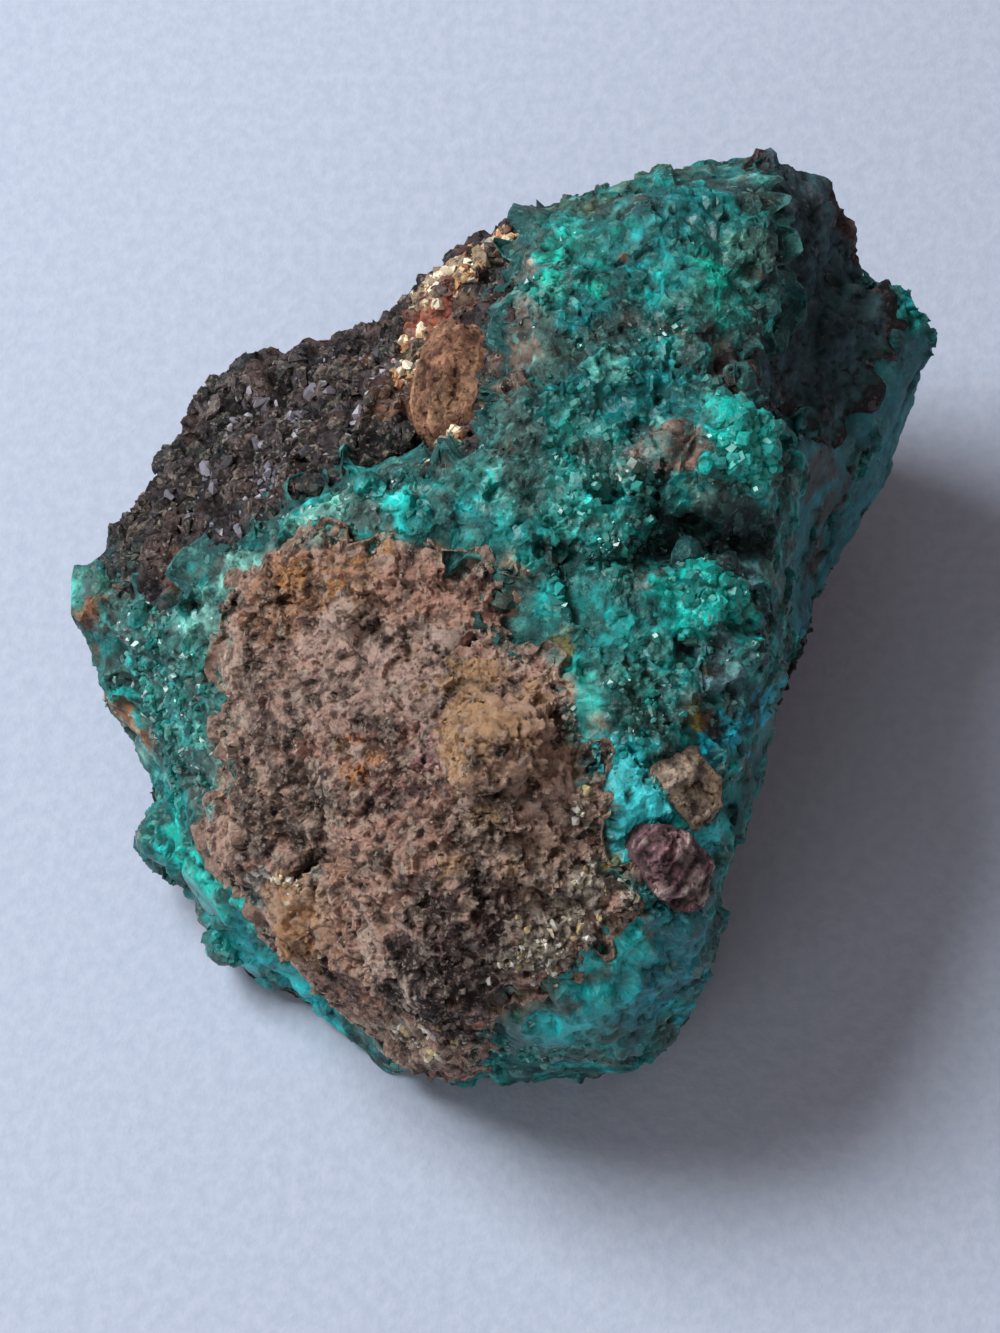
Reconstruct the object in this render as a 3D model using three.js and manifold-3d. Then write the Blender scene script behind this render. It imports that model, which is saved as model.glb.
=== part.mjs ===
// A dioptase hand specimen: a fist-sized lump of dark, vuggy host rock. Its broad face is crusted
// with teal dioptase, and a slab of iron-stained brown rock still sits on that crust. Three rock
// chips are caught in the surface. Millimetres, +Z up, the flat foot of the lump on z = 0.
//
// Shapes are drawn in the frame of the broad face: x runs across it, y up it and z out of it. Its
// origin is inside the lump. One group leans that frame back into place over the table.

import * as THREE from "three";
import { ConvexHull } from "three/addons/math/ConvexHull.js";
import { ImprovedNoise } from "three/addons/math/ImprovedNoise.js";
import { TessellateModifier } from "three/addons/modifiers/TessellateModifier.js";
import { mergeVertices } from "three/addons/utils/BufferGeometryUtils.js";
import Module from "manifold-3d";

const wasm = await Module();
wasm.setup();

// ---- Driving dimensions ------------------------------------------------------------------------

const FACE_LEAN = THREE.MathUtils.degToRad(30); // the broad face, forward of level
const CENTRE_HEIGHT = 22; // the face frame's origin over the table
const CRUST_DEPTH = 6; // dioptase and brown slab, down to the host rock
const SEAM = 0.35; // open seam between neighbouring minerals
const SKIN_GRAIN = 7; // longest edge of the facets that the broken skin is made of
const FOOT_SINK = 2; // the foot's corners are drawn this far down, then cut level
const BLOCK = 200; // side of the blocks that cut the foot and the dioptase's end
const CRUST_END_STEP = 3; // how far the ragged line where the dioptase ends wanders up and down
const REACH = 60; // further than any point of the lump from its centre

// Corners of the lump where its fracture facets meet, as [across, up, out] in the face frame.
const RIM = [
  [21.5, 37.5, -4], [26.5, 35, -6], [28, 31, -8], [30, 28, -9], [31.4, 27.8, -7], [33.4, 27, -7],
  [34.2, 25.4, -8], [35.5, 23, -10], [34, 19.5, -12], [32, 12.5, -14], [29, 6.5, -15], [26.5, 1.5, -14],
  [22.8, -1.8, -2], [22, -5.5, 7], [20.2, -10.5, 11], [18.2, -14.5, 13], [17.3, -20, 14],
  [16.6, -25.5, 11], [15.6, -30.5, 7], [13.8, -34, 4], [10.5, -36, 2.5], [5, -36, 2], [0, -36, 2],
  [-3.5, -36.5, 1], [-8, -36, 0], [-10.2, -34, -1], [-12, -32, -3], [-15, -30.5, -5], [-19, -28.8, -6],
  [-22.8, -27, -6.5], [-25.5, -23.4, -7], [-28.7, -18, -8], [-27.4, -14.5, -8], [-28, -12, -8],
  [-32, -7.5, -8], [-32.5, -4.5, -7], [-31.5, -2.5, -5], [-34.5, 0.5, -5], [-34.5, 3.5, -6],
  [-32.5, 6, -8], [-30, 8.5, -9], [-27, 11, -10], [-26.5, 14, -10], [-24.5, 17, -10], [-22.5, 19.5, -10],
  [-20, 21, -10], [-17, 21.5, -9], [-12, 23, -8], [-7, 26, -7], [-4.5, 29, -6], [-1, 30.5, -5],
  [3.5, 33.5, -5], [8, 34.5, -4], [11.5, 36, -4], [17, 37, -4],
];
const DARK_FLANK = [
  [-28, 5, -2], [-21.5, 9.5, 1], [-13.5, 15, 2], [-6, 13, 6], [-8, 20, 1], [-3, 20, 7],
  [-0.5, 25.5, 3], [-16, 18.5, -4], [-23, 14.5, -5],
];
const RIDGE = [
  [-23.5, 1.5, 6], [-16, 7.5, 10], [-8, 11.5, 13], [-1.5, 12.5, 15], [1.5, 17.5, 15], [3, 24, 10],
  [3, 29.5, 3],
];
const TEAL_FACE = [
  [8, 31, 5], [14.5, 33.5, 4], [20.5, 33.5, 2], [8, 25.5, 9], [15, 25.5, 9], [21.5, 26.5, 6],
  [8, 17.5, 13], [15, 19, 12.5], [19.5, 20, 9.5], [5, 11, 15.5], [12, 10, 15.5], [19, 13.5, 15.5],
  [18, 9.8, 16], [12.5, 5.6, 12.5], [17, 5, 12.3], [21.5, 7, 9], [8, 4, 17], [15.5, 1.5, 17.3],
  [20.5, 0, 14], [9.5, -2.5, 19], [14.5, -6.5, 18.5], [18.8, -8, 17], [11, -13, 20], [16, -14.5, 18.5],
  [13.5, -19, 20], [11.5, -24, 20], [14.6, -23, 17.5], [7.5, -30, 17], [2.5, -33, 13.5],
  [13.4, -29, 15.5], [9, -33.2, 12.5],
];
const BROWN_SLAB = [
  [-21, -1.5, 9], [-16, 5, 13], [-8, 5, 16], [1, 2.5, 17.5], [-12, -5, 16.5], [-4, -5, 19.5],
  [3, -5, 20.5], [-20, -11, 11], [-13, -13, 17.5], [0, -9.5, 23.5], [7, -14.5, 20.5], [-20, -18.5, 10],
  [-15, -21, 13.5], [-17, -25, 10.5], [-8, -20, 21], [0, -20, 22.5], [7.5, -20.5, 21], [-11, -28, 13.5],
  [-5.5, -29, 18.5], [1.5, -28, 19.8], [-5, -34.5, 13],
];
const LEFT_LEDGE = [
  [-29.5, -1.5, 1], [-25.5, -6.5, 3], [-25, -13, 1], [-24.5, -18.5, -1], [-21, -23.8, -1.5],
  [-16, -27.6, -0.5],
];
const RIGHT_FLANK = [
  [24, 33, -2], [25.5, 26.5, -5], [29.5, 23, -8], [25, 20, -3], [21, 17, 3], [32, 21.5, -7],
  [28, 17.5, -4], [24, 13.5, 2], [29, 11, -8], [25.5, 5, -9], [23, 1.5, -5],
];

// Corners round the back and under the foot, as [right, back, height] over the table.
const BACK = [
  [31, 26, 13], [20, 36, 15], [4, 35, 16], [-10, 30, 14], [-22, 21, 11], [-30, 8, 9], [-28, -6, 5],
  [28, 34.5, 24], [14, 37.5, 26], [1, 34.5, 25], [-11, 28, 20.5], [-21.5, 20.5, 17],
];
const FOOT = [
  [-10, -28.5], [6, -29], [14, -24], [18, -6], [22, 10], [25, 23], [14, 30], [-3, 27], [-17, 19],
  [-26, 5], [-25, -11], [-18.5, -21.5],
];

// Outlines square to the broad face, as [across, up].
const SLAB_OUTLINE = [
  [-20.5, 1.5], [-18.5, 4], [-16.5, 5.5], [-13.5, 6.5], [-10, 6], [-8, 6], [-3.5, 5], [1.5, 3.5],
  [1, 1], [0, -1.5], [4, -3], [5, -6.5], [6.5, -9.5], [8, -11.5], [8, -14.5], [8, -18.5],
  [10, -20.5], [10, -23], [8, -25], [5, -27], [1.5, -29], [-0.5, -31], [-1.5, -33.5], [-2, -39],
  [-8, -39], [-10.5, -34.5], [-12.5, -31], [-15, -28], [-18, -25.5], [-18.5, -23], [-20.5, -21], [-22, -18.5],
  [-23, -15.5], [-21.5, -13.5], [-21, -10.5], [-21, -6.5], [-21.5, -2.5],
];
const CRUST_OUTLINE = [
  [4, 35], [11, 37], [20, 39], [21.5, 30.5], [22, 23.5], [19, 20.5], [17, 18.5], [19.5, 16],
  [24, 14.5], [29.5, 18], [31.5, 23], [30, 27], [31, 29], [34.5, 29], [37.5, 24], [37, 17.5],
  [35, 8], [29, -3], [25.5, -11], [23, -19], [21.5, -27], [19, -35], [13, -39.5], [5, -39.5],
  [-5, -38], [-11, -36.5], [-16, -34], [-23.5, -30.5], [-28, -25], [-31, -19], [-30, -14.5], [-33.5, -9.5],
  [-35.5, -5.5], [-37, -1], [-37, 5], [-33, 7.5], [-31.5, 3.5], [-29.5, 1], [-26.5, 0.5], [-24, 3.5],
  [-20, 6.5], [-16, 9], [-12.5, 11], [-8, 12.5], [-4.5, 11.5], [-1.5, 13], [1, 17.5], [2, 23],
  [1.5, 29],
];
const TAN_CHIP = [[12, -12], [15, -10.5], [17, -12.5], [17.5, -14.5], [15, -16], [13.5, -14.5]];
const PURPLE_CHIP = [
  [10.5, -17.5], [11.5, -16], [14, -16.5], [17, -19], [16.5, -22], [15, -22.5], [12, -21], [11, -19.5],
];

// Angular knots that stand out of the surface, as [across, up, radius].
const CRUST_KNOTS = [
  [18, 13.5, 3], [20.5, 11.8, 2.4], [15.8, 2.4, 2.9], [18.8, 1.6, 2.3], [12.8, 1.2, 2.2], [9, 19.5, 2.6],
  [20, 29.5, 2.6], [16.2, 27, 2.2], [5, 27.2, 1.9], [-8, 9, 1.5], [-10.8, 9.2, 2], [-14, 8, 1.5],
  [19.8, -4.6, 3], [20.6, -9.4, 2.4], [14.8, -5.4, 2], [-27.2, -16.6, 2.2], [-25, -20.6, 2],
  [-20.8, -25.2, 2.4], [-16.4, -28.6, 1.7], [-32.6, 3.4, 2.2], [-28.6, -1.2, 2.5], [-30.8, -5, 2.1],
  [-25, -2.6, 2.1], [-27.6, -7.6, 2.2], [-24.4, -10.4, 1.9], [6.4, 10.4, 2.2],
  [11, 7.8, 1.8], [6, -1.2, 1.7], [13, 13, 2.4], [14, 20.6, 2.2],
];
const HOST_KNOTS = [
  [-20.6, 19.8, 2.4], [-24.2, 16.4, 2.2], [-26.6, 12.6, 2], [-16.6, 20.4, 2], [-12.8, 18.8, 2.3],
  [-19.4, 14.4, 2.3], [-22.6, 10.6, 2], [-9.2, 17, 1.9], [-13, 12.8, 1.8], [-17, 11, 1.7], [-27.2, 7.6, 1.9],
  [3, 32, 1.9], [-1.6, 28.4, 1.9], [-4.6, 25.6, 2], [-0.6, 25.4, 1.6], [26, 32.6, 2.1], [27.2, 28.2, 1.8],
  [24.4, 28.6, 1.9], [27, 23.2, 1.9], [23.4, 22.6, 1.7], [-30, 6.6, 1.7],
];
const SLAB_KNOTS = [[0.4, -9.2, 3.6], [-16.6, -23.6, 3], [-8.4, -32, 2.6], [-12.4, 2.4, 2.8], [-2, 1.8, 2.6]];

// Dioptase crystals in the brightest clusters, as [across, up, radius, height].
const CRYSTALS = [
  [17.4, 15, 1.3, 2.6], [20.4, 14.2, 1.1, 2.4], [19, 10.8, 1.2, 2.2], [16.2, 12, 1, 2], [21.6, 12, 0.9, 2],
  [14.6, 3.8, 1.1, 2.2], [17.4, 3.8, 1, 2], [12, 2.6, 0.9, 1.8], [16, -0.6, 1.1, 2], [19.8, 2.8, 0.9, 2],
  [8, 20.6, 1, 1.8], [10.2, 18.4, 0.9, 1.8], [-9.6, 10.2, 0.9, 1.6], [20.8, 30.6, 1, 2], [18.8, 28, 1, 1.8],
  [-28.4, 0, 1, 1.8], [-26.4, -8.6, 0.9, 1.6], [-22, -26, 0.9, 1.6],
];

// Holes, as [across, up, radius], and the open cracks in the slab.
const CRUST_PITS = [[14.2, -2.4, 1.4], [15, 7.4, 1.6], [-26, -12.6, 1.2]];
const HOST_VUGS = [
  [-6.5, 13.4, 2.2], [-9.6, 12.8, 1.8], [-20, 6.2, 1.7], [-15, 10.2, 1.4], [-18.4, 8.6, 1.3],
];
const SLAB_PITS = [[0.2, -10.2, 1]];
const SLAB_CRACKS = [
  { from: [-18.8, -21.8], to: [-12.4, -17.4], width: 1.5, depth: 4 },
  { from: [-4.4, -2.6], to: [0.2, -0.6], width: 1, depth: 2.5 },
];

const OVAL_CHIP = { centre: [-4.1, 18.2], radii: [3.9, 5.9, 2.8], turn: THREE.MathUtils.degToRad(10) };
const CHIP_RISE = 0.8; // how far a flat chip stands out of the crust round it
const CHIP_BEVEL = 0.6; // its broken edge
const CHIP_ROOT = 3; // how deep it is set

// The dioptase ends low round the front and high round the back, and the slab ends above it: the depth
// of each line below the centre, its climb towards the back and its dip to the right, in degrees.
const CRUST_ENDS = [{ depth: 14.5, climb: 14, dip: 0 }, { depth: 20, climb: 55, dip: 16 }];
const SLAB_ENDS = [{ depth: 11.5, climb: 8, dip: 0 }];

const FRACTURE_STEP = 0.9; // how far a mineral's edge wanders between its corners
const UP = new THREE.Vector3(0, 0, 1);

// ---- From three.js geometry to solids and back -------------------------------------------------

/** A closed three.js geometry as a manifold-3d solid. */
function solidFrom(geometry) {
  const bare = geometry.clone();
  bare.deleteAttribute("normal");
  bare.deleteAttribute("uv");
  const merged = mergeVertices(bare, 1e-4);
  return new wasm.Manifold(
    new wasm.Mesh({
      numProp: 3,
      vertProperties: new Float32Array(merged.attributes.position.array),
      triVerts: new Uint32Array(merged.index.array),
    }),
  );
}

/** The largest body of a solid as a three.js geometry, without the crumbs that a cut leaves. */
function geometryFrom(solid) {
  const [body] = solid.decompose().sort((a, b) => b.volume() - a.volume());
  const mesh = body.getMesh();
  const geometry = new THREE.BufferGeometry();
  geometry.setAttribute("position", new THREE.BufferAttribute(new Float32Array(mesh.vertProperties), 3));
  geometry.setIndex(new THREE.BufferAttribute(new Uint32Array(mesh.triVerts), 1));
  geometry.computeVertexNormals();
  return geometry;
}

/** One solid out of many. */
function joined(solids) {
  return solids.reduce((whole, next) => whole.add(next));
}

/** Moves every corner of a geometry by a rule of its own place, and returns the geometry. */
function reshaped(geometry, move) {
  const position = geometry.attributes.position;
  const point = new THREE.Vector3();
  for (let i = 0; i < position.count; i += 1) {
    move(point.fromBufferAttribute(position, i));
    position.setXYZ(i, point.x, point.y, point.z);
  }
  return geometry;
}

// ---- The lump's skin ---------------------------------------------------------------------------

/** A point given over the table, in the face frame. */
function fromTable(right, back, height) {
  const point = new THREE.Vector3(right, back, height - CENTRE_HEIGHT);
  return point.applyAxisAngle(new THREE.Vector3(1, 0, 0), -FACE_LEAN);
}

/** The flat facets between the corners, as triples of corners that run counterclockwise. */
function facetsBetween(corners) {
  const cornerOf = new Map(corners.map((corner) => [corner.clone().normalize(), corner]));
  const hull = new ConvexHull().setFromPoints([...cornerOf.keys()]);
  return hull.faces.map((face) => {
    const edges = [face.edge, face.edge.next, face.edge.next.next];
    return edges.map((edge) => cornerOf.get(edge.head().point));
  });
}

const corners = [
  ...[RIM, DARK_FLANK, RIDGE, TEAL_FACE, BROWN_SLAB, LEFT_LEDGE, RIGHT_FLANK]
    .flat()
    .map((corner) => new THREE.Vector3(...corner)),
  ...BACK.map((corner) => fromTable(...corner)),
  ...FOOT.map(([right, back]) => fromTable(right, back, -FOOT_SINK)),
  fromTable(0, 0, -FOOT_SINK),
];
const facets = facetsBetween(corners);
const sharesOfRay = facets.map(([a, b, c]) =>
  new THREE.Matrix3().set(a.x, b.x, c.x, a.y, b.y, c.y, a.z, b.z, c.z).invert(),
);
const noise = new ImprovedNoise();

/** Distance from the centre to the facets along a unit direction. */
function facetDistance(direction) {
  let best = { inside: -Infinity, distance: 0 };
  for (const matrix of sharesOfRay) {
    const share = direction.clone().applyMatrix3(matrix);
    const inside = Math.min(share.x, share.y, share.z);
    if (inside > best.inside) best = { inside, distance: 1 / (share.x + share.y + share.z) };
  }
  return best.distance;
}

/** Rise of the broken surface at a point, from swells 12 mm across and lumps 5 mm across. */
function roughness(point) {
  const swell = noise.noise(point.x / 12 + 7, point.y / 12, point.z / 12);
  const lump = noise.noise(point.x / 5, point.y / 5 + 31, point.z / 5);
  return 1.1 * swell + 0.9 * lump;
}

/** Distance from the centre to the skin along a unit direction. */
function skinDistance(direction) {
  const distance = facetDistance(direction);
  return distance + roughness(direction.clone().multiplyScalar(distance));
}

/** The closed surface of the facets. */
function facetGeometry() {
  const geometry = new THREE.BufferGeometry().setFromPoints(facets.flat());
  geometry.computeVertexNormals();
  return geometry;
}

/** The whole lump: its facets broken up by the roughness. */
function skinSolid() {
  const geometry = new TessellateModifier(SKIN_GRAIN, 12).modify(facetGeometry());
  return solidFrom(reshaped(geometry, (point) => point.setLength(point.length() + roughness(point))));
}

/** The solid inside a plain surface that runs some depth below the facets. */
function innerSolid(depth) {
  return solidFrom(reshaped(facetGeometry(), (point) => point.setLength(point.length() - depth)));
}

/** How far a point stands out of the skin, along the ray from the centre. */
function riseOf(point) {
  return point.length() - skinDistance(point.clone().normalize());
}

/** The point of the skin that lies over [across, up] on the broad face. */
function onFace(across, up) {
  const point = new THREE.Vector3(across, up, REACH);
  while (point.z > -REACH && riseOf(point) > 0) point.z -= 0.1;
  return point;
}

/** The direction in which the skin faces at a point of it. */
function facing(point) {
  const slopes = ["x", "y", "z"].map((axis) => {
    const [ahead, behind] = [point.clone(), point.clone()];
    ahead[axis] += 1;
    behind[axis] -= 1;
    return riseOf(ahead) - riseOf(behind);
  });
  return new THREE.Vector3(...slopes).normalize();
}

/** Stands a geometry on the skin over [across, up], its +Z outwards, raised or sunk by a distance. */
function stoodOn(geometry, across, up, raise) {
  const seat = onFace(across, up);
  const out = facing(seat);
  geometry.applyQuaternion(new THREE.Quaternion().setFromUnitVectors(UP, out));
  seat.addScaledVector(out, raise);
  return solidFrom(geometry.translate(seat.x, seat.y, seat.z));
}

// ---- Shapes set in the skin --------------------------------------------------------------------

/** An outline with a step at the middle of each side, as a fracture runs. */
function fractured(outline) {
  return outline.flatMap(([x, y], i) => {
    const [nextX, nextY] = outline[(i + 1) % outline.length];
    const middle = new THREE.Vector2((x + nextX) / 2, (y + nextY) / 2);
    const side = new THREE.Vector2(nextY - y, x - nextX).normalize();
    middle.addScaledVector(side, FRACTURE_STEP * Math.sin(12.9 * x + 7.8 * y));
    return [[x, y], [middle.x, middle.y]];
  });
}

/** An outline moved outwards by a margin, corner by corner. */
function grown(outline, margin) {
  const turn = Math.sign(THREE.ShapeUtils.area(outline.map(([x, y]) => new THREE.Vector2(x, y))));
  return outline.map(([x, y], i) => {
    const before = outline.at(i - 1);
    const after = outline[(i + 1) % outline.length];
    const along = new THREE.Vector2(after[0] - before[0], after[1] - before[1]).normalize();
    return [x + turn * along.y * margin, y - turn * along.x * margin];
  });
}

/** A closed outline pushed out along +Z from low to high, with its edges broken by a bevel. */
function extruded(outline, low, high, bevel) {
  const shape = new THREE.Shape(outline.map(([x, y]) => new THREE.Vector2(x, y)));
  const geometry = new THREE.ExtrudeGeometry(shape, {
    depth: high - low - 2 * bevel,
    bevelEnabled: bevel > 0,
    bevelThickness: bevel,
    bevelSize: bevel,
    bevelOffset: -bevel,
    bevelSegments: 1,
  });
  return geometry.translate(0, 0, low + bevel);
}

/** An angular knot, half sunk in the skin, of a different shape at each place. */
function knot([across, up, radius]) {
  const geometry = reshaped(new THREE.IcosahedronGeometry(1.25 * radius, 0), (point) => {
    const chip = noise.noise(0.9 * point.x + across, 0.9 * point.y + up, 0.9 * point.z);
    point.multiplyScalar(1 + 0.5 * chip);
  });
  geometry.rotateX(across).rotateY(up).scale(1.15, 0.95, 0.7).rotateZ(across + up);
  return stoodOn(geometry, across, up, -0.4 * radius);
}

/** A stubby six-sided crystal with a pointed end, leaning a little. */
function crystal([across, up, radius, height]) {
  const profile = [[0, -height], [radius, -height], [radius, 0.35 * height], [0, height]];
  const geometry = new THREE.LatheGeometry(profile.map(([x, y]) => new THREE.Vector2(x, y)), 6);
  geometry.rotateX(Math.PI / 2 + 0.5 * Math.sin(9 * across)).rotateY(0.5 * Math.cos(7 * up));
  return stoodOn(geometry, across, up, 0.2 * height);
}

/** A rough hole, centred on the skin. */
function pit([across, up, radius]) {
  const geometry = new THREE.DodecahedronGeometry(1.1 * radius, 0);
  return stoodOn(geometry.rotateX(up).scale(1.2, 0.85, 1.3).rotateZ(across), across, up, 0);
}

/** A crack that narrows from its full width at the skin down to an edge. */
function crack({ from, to, width, depth }) {
  const along = new THREE.Vector2(to[0] - from[0], to[1] - from[1]);
  const blade = new THREE.CylinderGeometry(1.8, 0.2, 2 * depth, 4).rotateX(Math.PI / 2);
  blade.scale(along.length() / 2, width / 2, 1).rotateZ(along.angle());
  return stoodOn(blade, (from[0] + to[0]) / 2, (from[1] + to[1]) / 2, 0);
}

/** The oval chip, worn and half sunk in the dark flank. A margin makes its socket. */
function ovalChip(margin) {
  const { centre, radii, turn } = OVAL_CHIP;
  const pebble = reshaped(new THREE.IcosahedronGeometry(1, 2), (point) => {
    const wear = 1 + 0.15 * noise.noise(1.6 * point.x, 1.6 * point.y + 5, 1.6 * point.z);
    point.set(point.x * radii[0], point.y * radii[1], point.z * radii[2]).multiplyScalar(wear);
    point.setLength(point.length() + margin);
  });
  return stoodOn(pebble.rotateZ(turn), ...centre, -0.3 * radii[2]);
}

/** An angular chip with a flat top, set in the crust. A margin makes its socket. */
function flatChip(outline, margin) {
  const across = outline.reduce((sum, [x]) => sum + x, 0) / outline.length;
  const up = outline.reduce((sum, [, y]) => sum + y, 0) / outline.length;
  const centred = outline.map(([x, y]) => [x - across, y - up]);
  const [low, high] = [-CHIP_ROOT - margin, CHIP_RISE + margin];
  return stoodOn(extruded(grown(centred, margin), low, high, CHIP_BEVEL), across, up, 0);
}

/** Everything below the table. */
function ground() {
  const block = new THREE.BoxGeometry(BLOCK, BLOCK, BLOCK);
  return solidFrom(block.translate(0, 0, -BLOCK / 2 - CENTRE_HEIGHT).rotateX(-FACE_LEAN));
}

/** Everything below one ragged line where a mineral ends, lowered by a margin. */
function belowLine({ depth, climb, dip }, margin) {
  const block = new THREE.BoxGeometry(BLOCK, BLOCK, BLOCK, 30, 30, 1);
  reshaped(block.translate(0, 0, -BLOCK / 2), (point) => {
    if (point.z === 0) point.z = CRUST_END_STEP * noise.noise(point.x / 9 + 3, point.y / 9, 0.5);
  });
  block.translate(0, 0, -depth - margin).rotateY(THREE.MathUtils.degToRad(dip));
  block.rotateX(THREE.MathUtils.degToRad(climb) - FACE_LEAN);
  return solidFrom(block);
}

/** The ground that one mineral of the broad face covers, widened by a margin. */
function zone(outline, ends, margin) {
  const column = solidFrom(extruded(grown(fractured(outline), margin), -REACH, REACH, 0));
  return column.subtract(joined(ends.map((end) => belowLine(end, margin))));
}

// ---- The minerals ------------------------------------------------------------------------------

const skin = skinSolid();
const floorOfCrust = innerSolid(CRUST_DEPTH);
const topOfHost = innerSolid(CRUST_DEPTH + SEAM);
const crustZone = zone(CRUST_OUTLINE, CRUST_ENDS, 0);
const slabZone = zone(SLAB_OUTLINE, SLAB_ENDS, 0);
const slabSocket = zone(SLAB_OUTLINE, SLAB_ENDS, SEAM);
const crustAndSlab = zone(CRUST_OUTLINE, CRUST_ENDS, SEAM).add(slabSocket);
const chips = [ovalChip, (margin) => flatChip(TAN_CHIP, margin), (margin) => flatChip(PURPLE_CHIP, margin)];
const sockets = joined(chips.map((chip) => chip(SEAM)));

const hostRock = joined([skin, ...HOST_KNOTS.map(knot)])
  .subtract(crustAndSlab.subtract(topOfHost))
  .subtract(joined([...HOST_VUGS.map(pit), sockets, ground()]));
const dioptaseCrust = joined([skin, ...CRUST_KNOTS.map(knot), ...CRYSTALS.map(crystal)])
  .intersect(crustZone)
  .subtract(joined([...CRUST_PITS.map(pit), slabSocket, floorOfCrust, sockets, ground()]));
const brownSlab = joined([skin, ...SLAB_KNOTS.map(knot)])
  .intersect(slabZone)
  .subtract(joined([...SLAB_CRACKS.map(crack), ...SLAB_PITS.map(pit), floorOfCrust, sockets, ground()]));

/** A named piece with its own plain finish. */
function piece(name, solid, color, roughness) {
  const finish = new THREE.MeshStandardMaterial({ color, roughness, metalness: 0 });
  const mesh = new THREE.Mesh(geometryFrom(solid), finish);
  mesh.name = name;
  return mesh;
}

const [oval, tan, purple] = chips.map((chip) => chip(0));
const specimen = new THREE.Group();
specimen.name = "dioptase_specimen";
specimen.rotation.x = FACE_LEAN;
specimen.position.z = CENTRE_HEIGHT;
specimen.add(
  piece("host_rock", hostRock, 0x4b4540, 0.85),
  piece("dioptase_crust", dioptaseCrust, 0x2f7f7a, 0.4),
  piece("brown_rock_slab", brownSlab, 0x94705e, 0.9),
  piece("oval_brown_chip", oval, 0x8a5c40, 0.85),
  piece("tan_chip", tan, 0x8d7660, 0.85),
  piece("purple_chip", purple, 0x5f4648, 0.75),
);

export default specimen;
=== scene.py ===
"""A dioptase hand specimen: the fine surface, minerals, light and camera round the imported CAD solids.

Lengths are in millimetres until a mesh is written, which is in metres. Places on the broad face are given
in its own frame, as in the part's source: u across, v up the face and w out of it.
"""

import logging
import math
from dataclasses import dataclass, field
from enum import Enum
from typing import Any, Callable, Sequence, Union

import bmesh
import bpy
import numpy as np
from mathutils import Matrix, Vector
from mathutils.bvhtree import BVHTree


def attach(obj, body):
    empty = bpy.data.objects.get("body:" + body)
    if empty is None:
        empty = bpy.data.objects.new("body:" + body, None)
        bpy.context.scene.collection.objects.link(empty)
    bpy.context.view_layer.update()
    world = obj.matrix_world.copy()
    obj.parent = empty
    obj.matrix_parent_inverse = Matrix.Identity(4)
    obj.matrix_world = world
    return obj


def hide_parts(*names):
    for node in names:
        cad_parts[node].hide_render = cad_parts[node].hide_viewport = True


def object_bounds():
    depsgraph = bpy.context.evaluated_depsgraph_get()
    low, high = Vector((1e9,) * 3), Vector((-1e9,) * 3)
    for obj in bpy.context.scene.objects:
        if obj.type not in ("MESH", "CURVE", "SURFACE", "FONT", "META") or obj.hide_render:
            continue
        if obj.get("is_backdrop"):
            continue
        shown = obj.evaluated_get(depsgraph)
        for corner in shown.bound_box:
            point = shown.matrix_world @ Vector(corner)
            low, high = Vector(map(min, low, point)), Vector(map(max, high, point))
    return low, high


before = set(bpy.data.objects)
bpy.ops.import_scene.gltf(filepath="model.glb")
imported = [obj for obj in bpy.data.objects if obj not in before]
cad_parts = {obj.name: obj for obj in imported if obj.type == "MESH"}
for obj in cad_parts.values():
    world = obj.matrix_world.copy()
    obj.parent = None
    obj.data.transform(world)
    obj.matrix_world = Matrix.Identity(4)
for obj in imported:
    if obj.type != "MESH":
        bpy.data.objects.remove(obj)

log = logging.getLogger("dioptase_specimen")

MM = 0.001
FACE_LEAN = math.radians(30)
CENTRE_HEIGHT = 22.0

# How much lighter the minerals are than the colours given for them.
FRESHNESS = 1.35

Colour = tuple[int, int, int]
Spot = tuple[float, float, float]


# ---- Places and colours ------------------------------------------------------------------------


def linear(colour: Colour) -> np.ndarray:
    """Turns a colour on the screen's scale into light.

    Args:
        colour: Red, green and blue from 0 to 255.

    Returns:
        The linear red, green and blue, from 0 to 1.
    """
    value = np.asarray(colour, float) / 255.0
    return np.where(value <= 0.04045, value / 12.92, ((value + 0.055) / 1.055) ** 2.4)


def smooth_step(values: np.ndarray, low: float, high: float) -> np.ndarray:
    """Rises smoothly from 0 at low to 1 at high.

    Args:
        values: The values to map.
        low: Where the rise starts.
        high: Where it ends. Below low, it falls instead.

    Returns:
        An array of the same shape, from 0 to 1.
    """
    share = np.clip((values - low) / (high - low), 0.0, 1.0)
    return share * share * (3.0 - 2.0 * share)


def face_to_table(points: np.ndarray) -> np.ndarray:
    """Turns places in the broad face's frame into the part's frame.

    Args:
        points: Rows of u, v and w in millimetres.

    Returns:
        Rows of x, y and z in millimetres.
    """
    u, v, w = np.asarray(points, float).T
    cos, sin = math.cos(FACE_LEAN), math.sin(FACE_LEAN)
    return np.stack([u, v * cos - w * sin, CENTRE_HEIGHT + v * sin + w * cos], axis=1)


def table_to_face(points: np.ndarray) -> np.ndarray:
    """Turns places in the part's frame into the broad face's frame.

    Args:
        points: Rows of x, y and z in millimetres.

    Returns:
        Rows of u, v and w in millimetres.
    """
    x, y, z = np.asarray(points, float).T
    cos, sin = math.cos(FACE_LEAN), math.sin(FACE_LEAN)
    rise = z - CENTRE_HEIGHT
    return np.stack([x, y * cos + rise * sin, -y * sin + rise * cos], axis=1)


def cad_limits() -> tuple[np.ndarray, np.ndarray]:
    """Gives the CAD model's box, which nothing of the specimen leaves.

    Returns:
        Its lowest and its highest x, y and z in millimetres.
    """
    low, high = (np.array(corner) / MM for corner in CAD_BOX)
    return low, high


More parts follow.
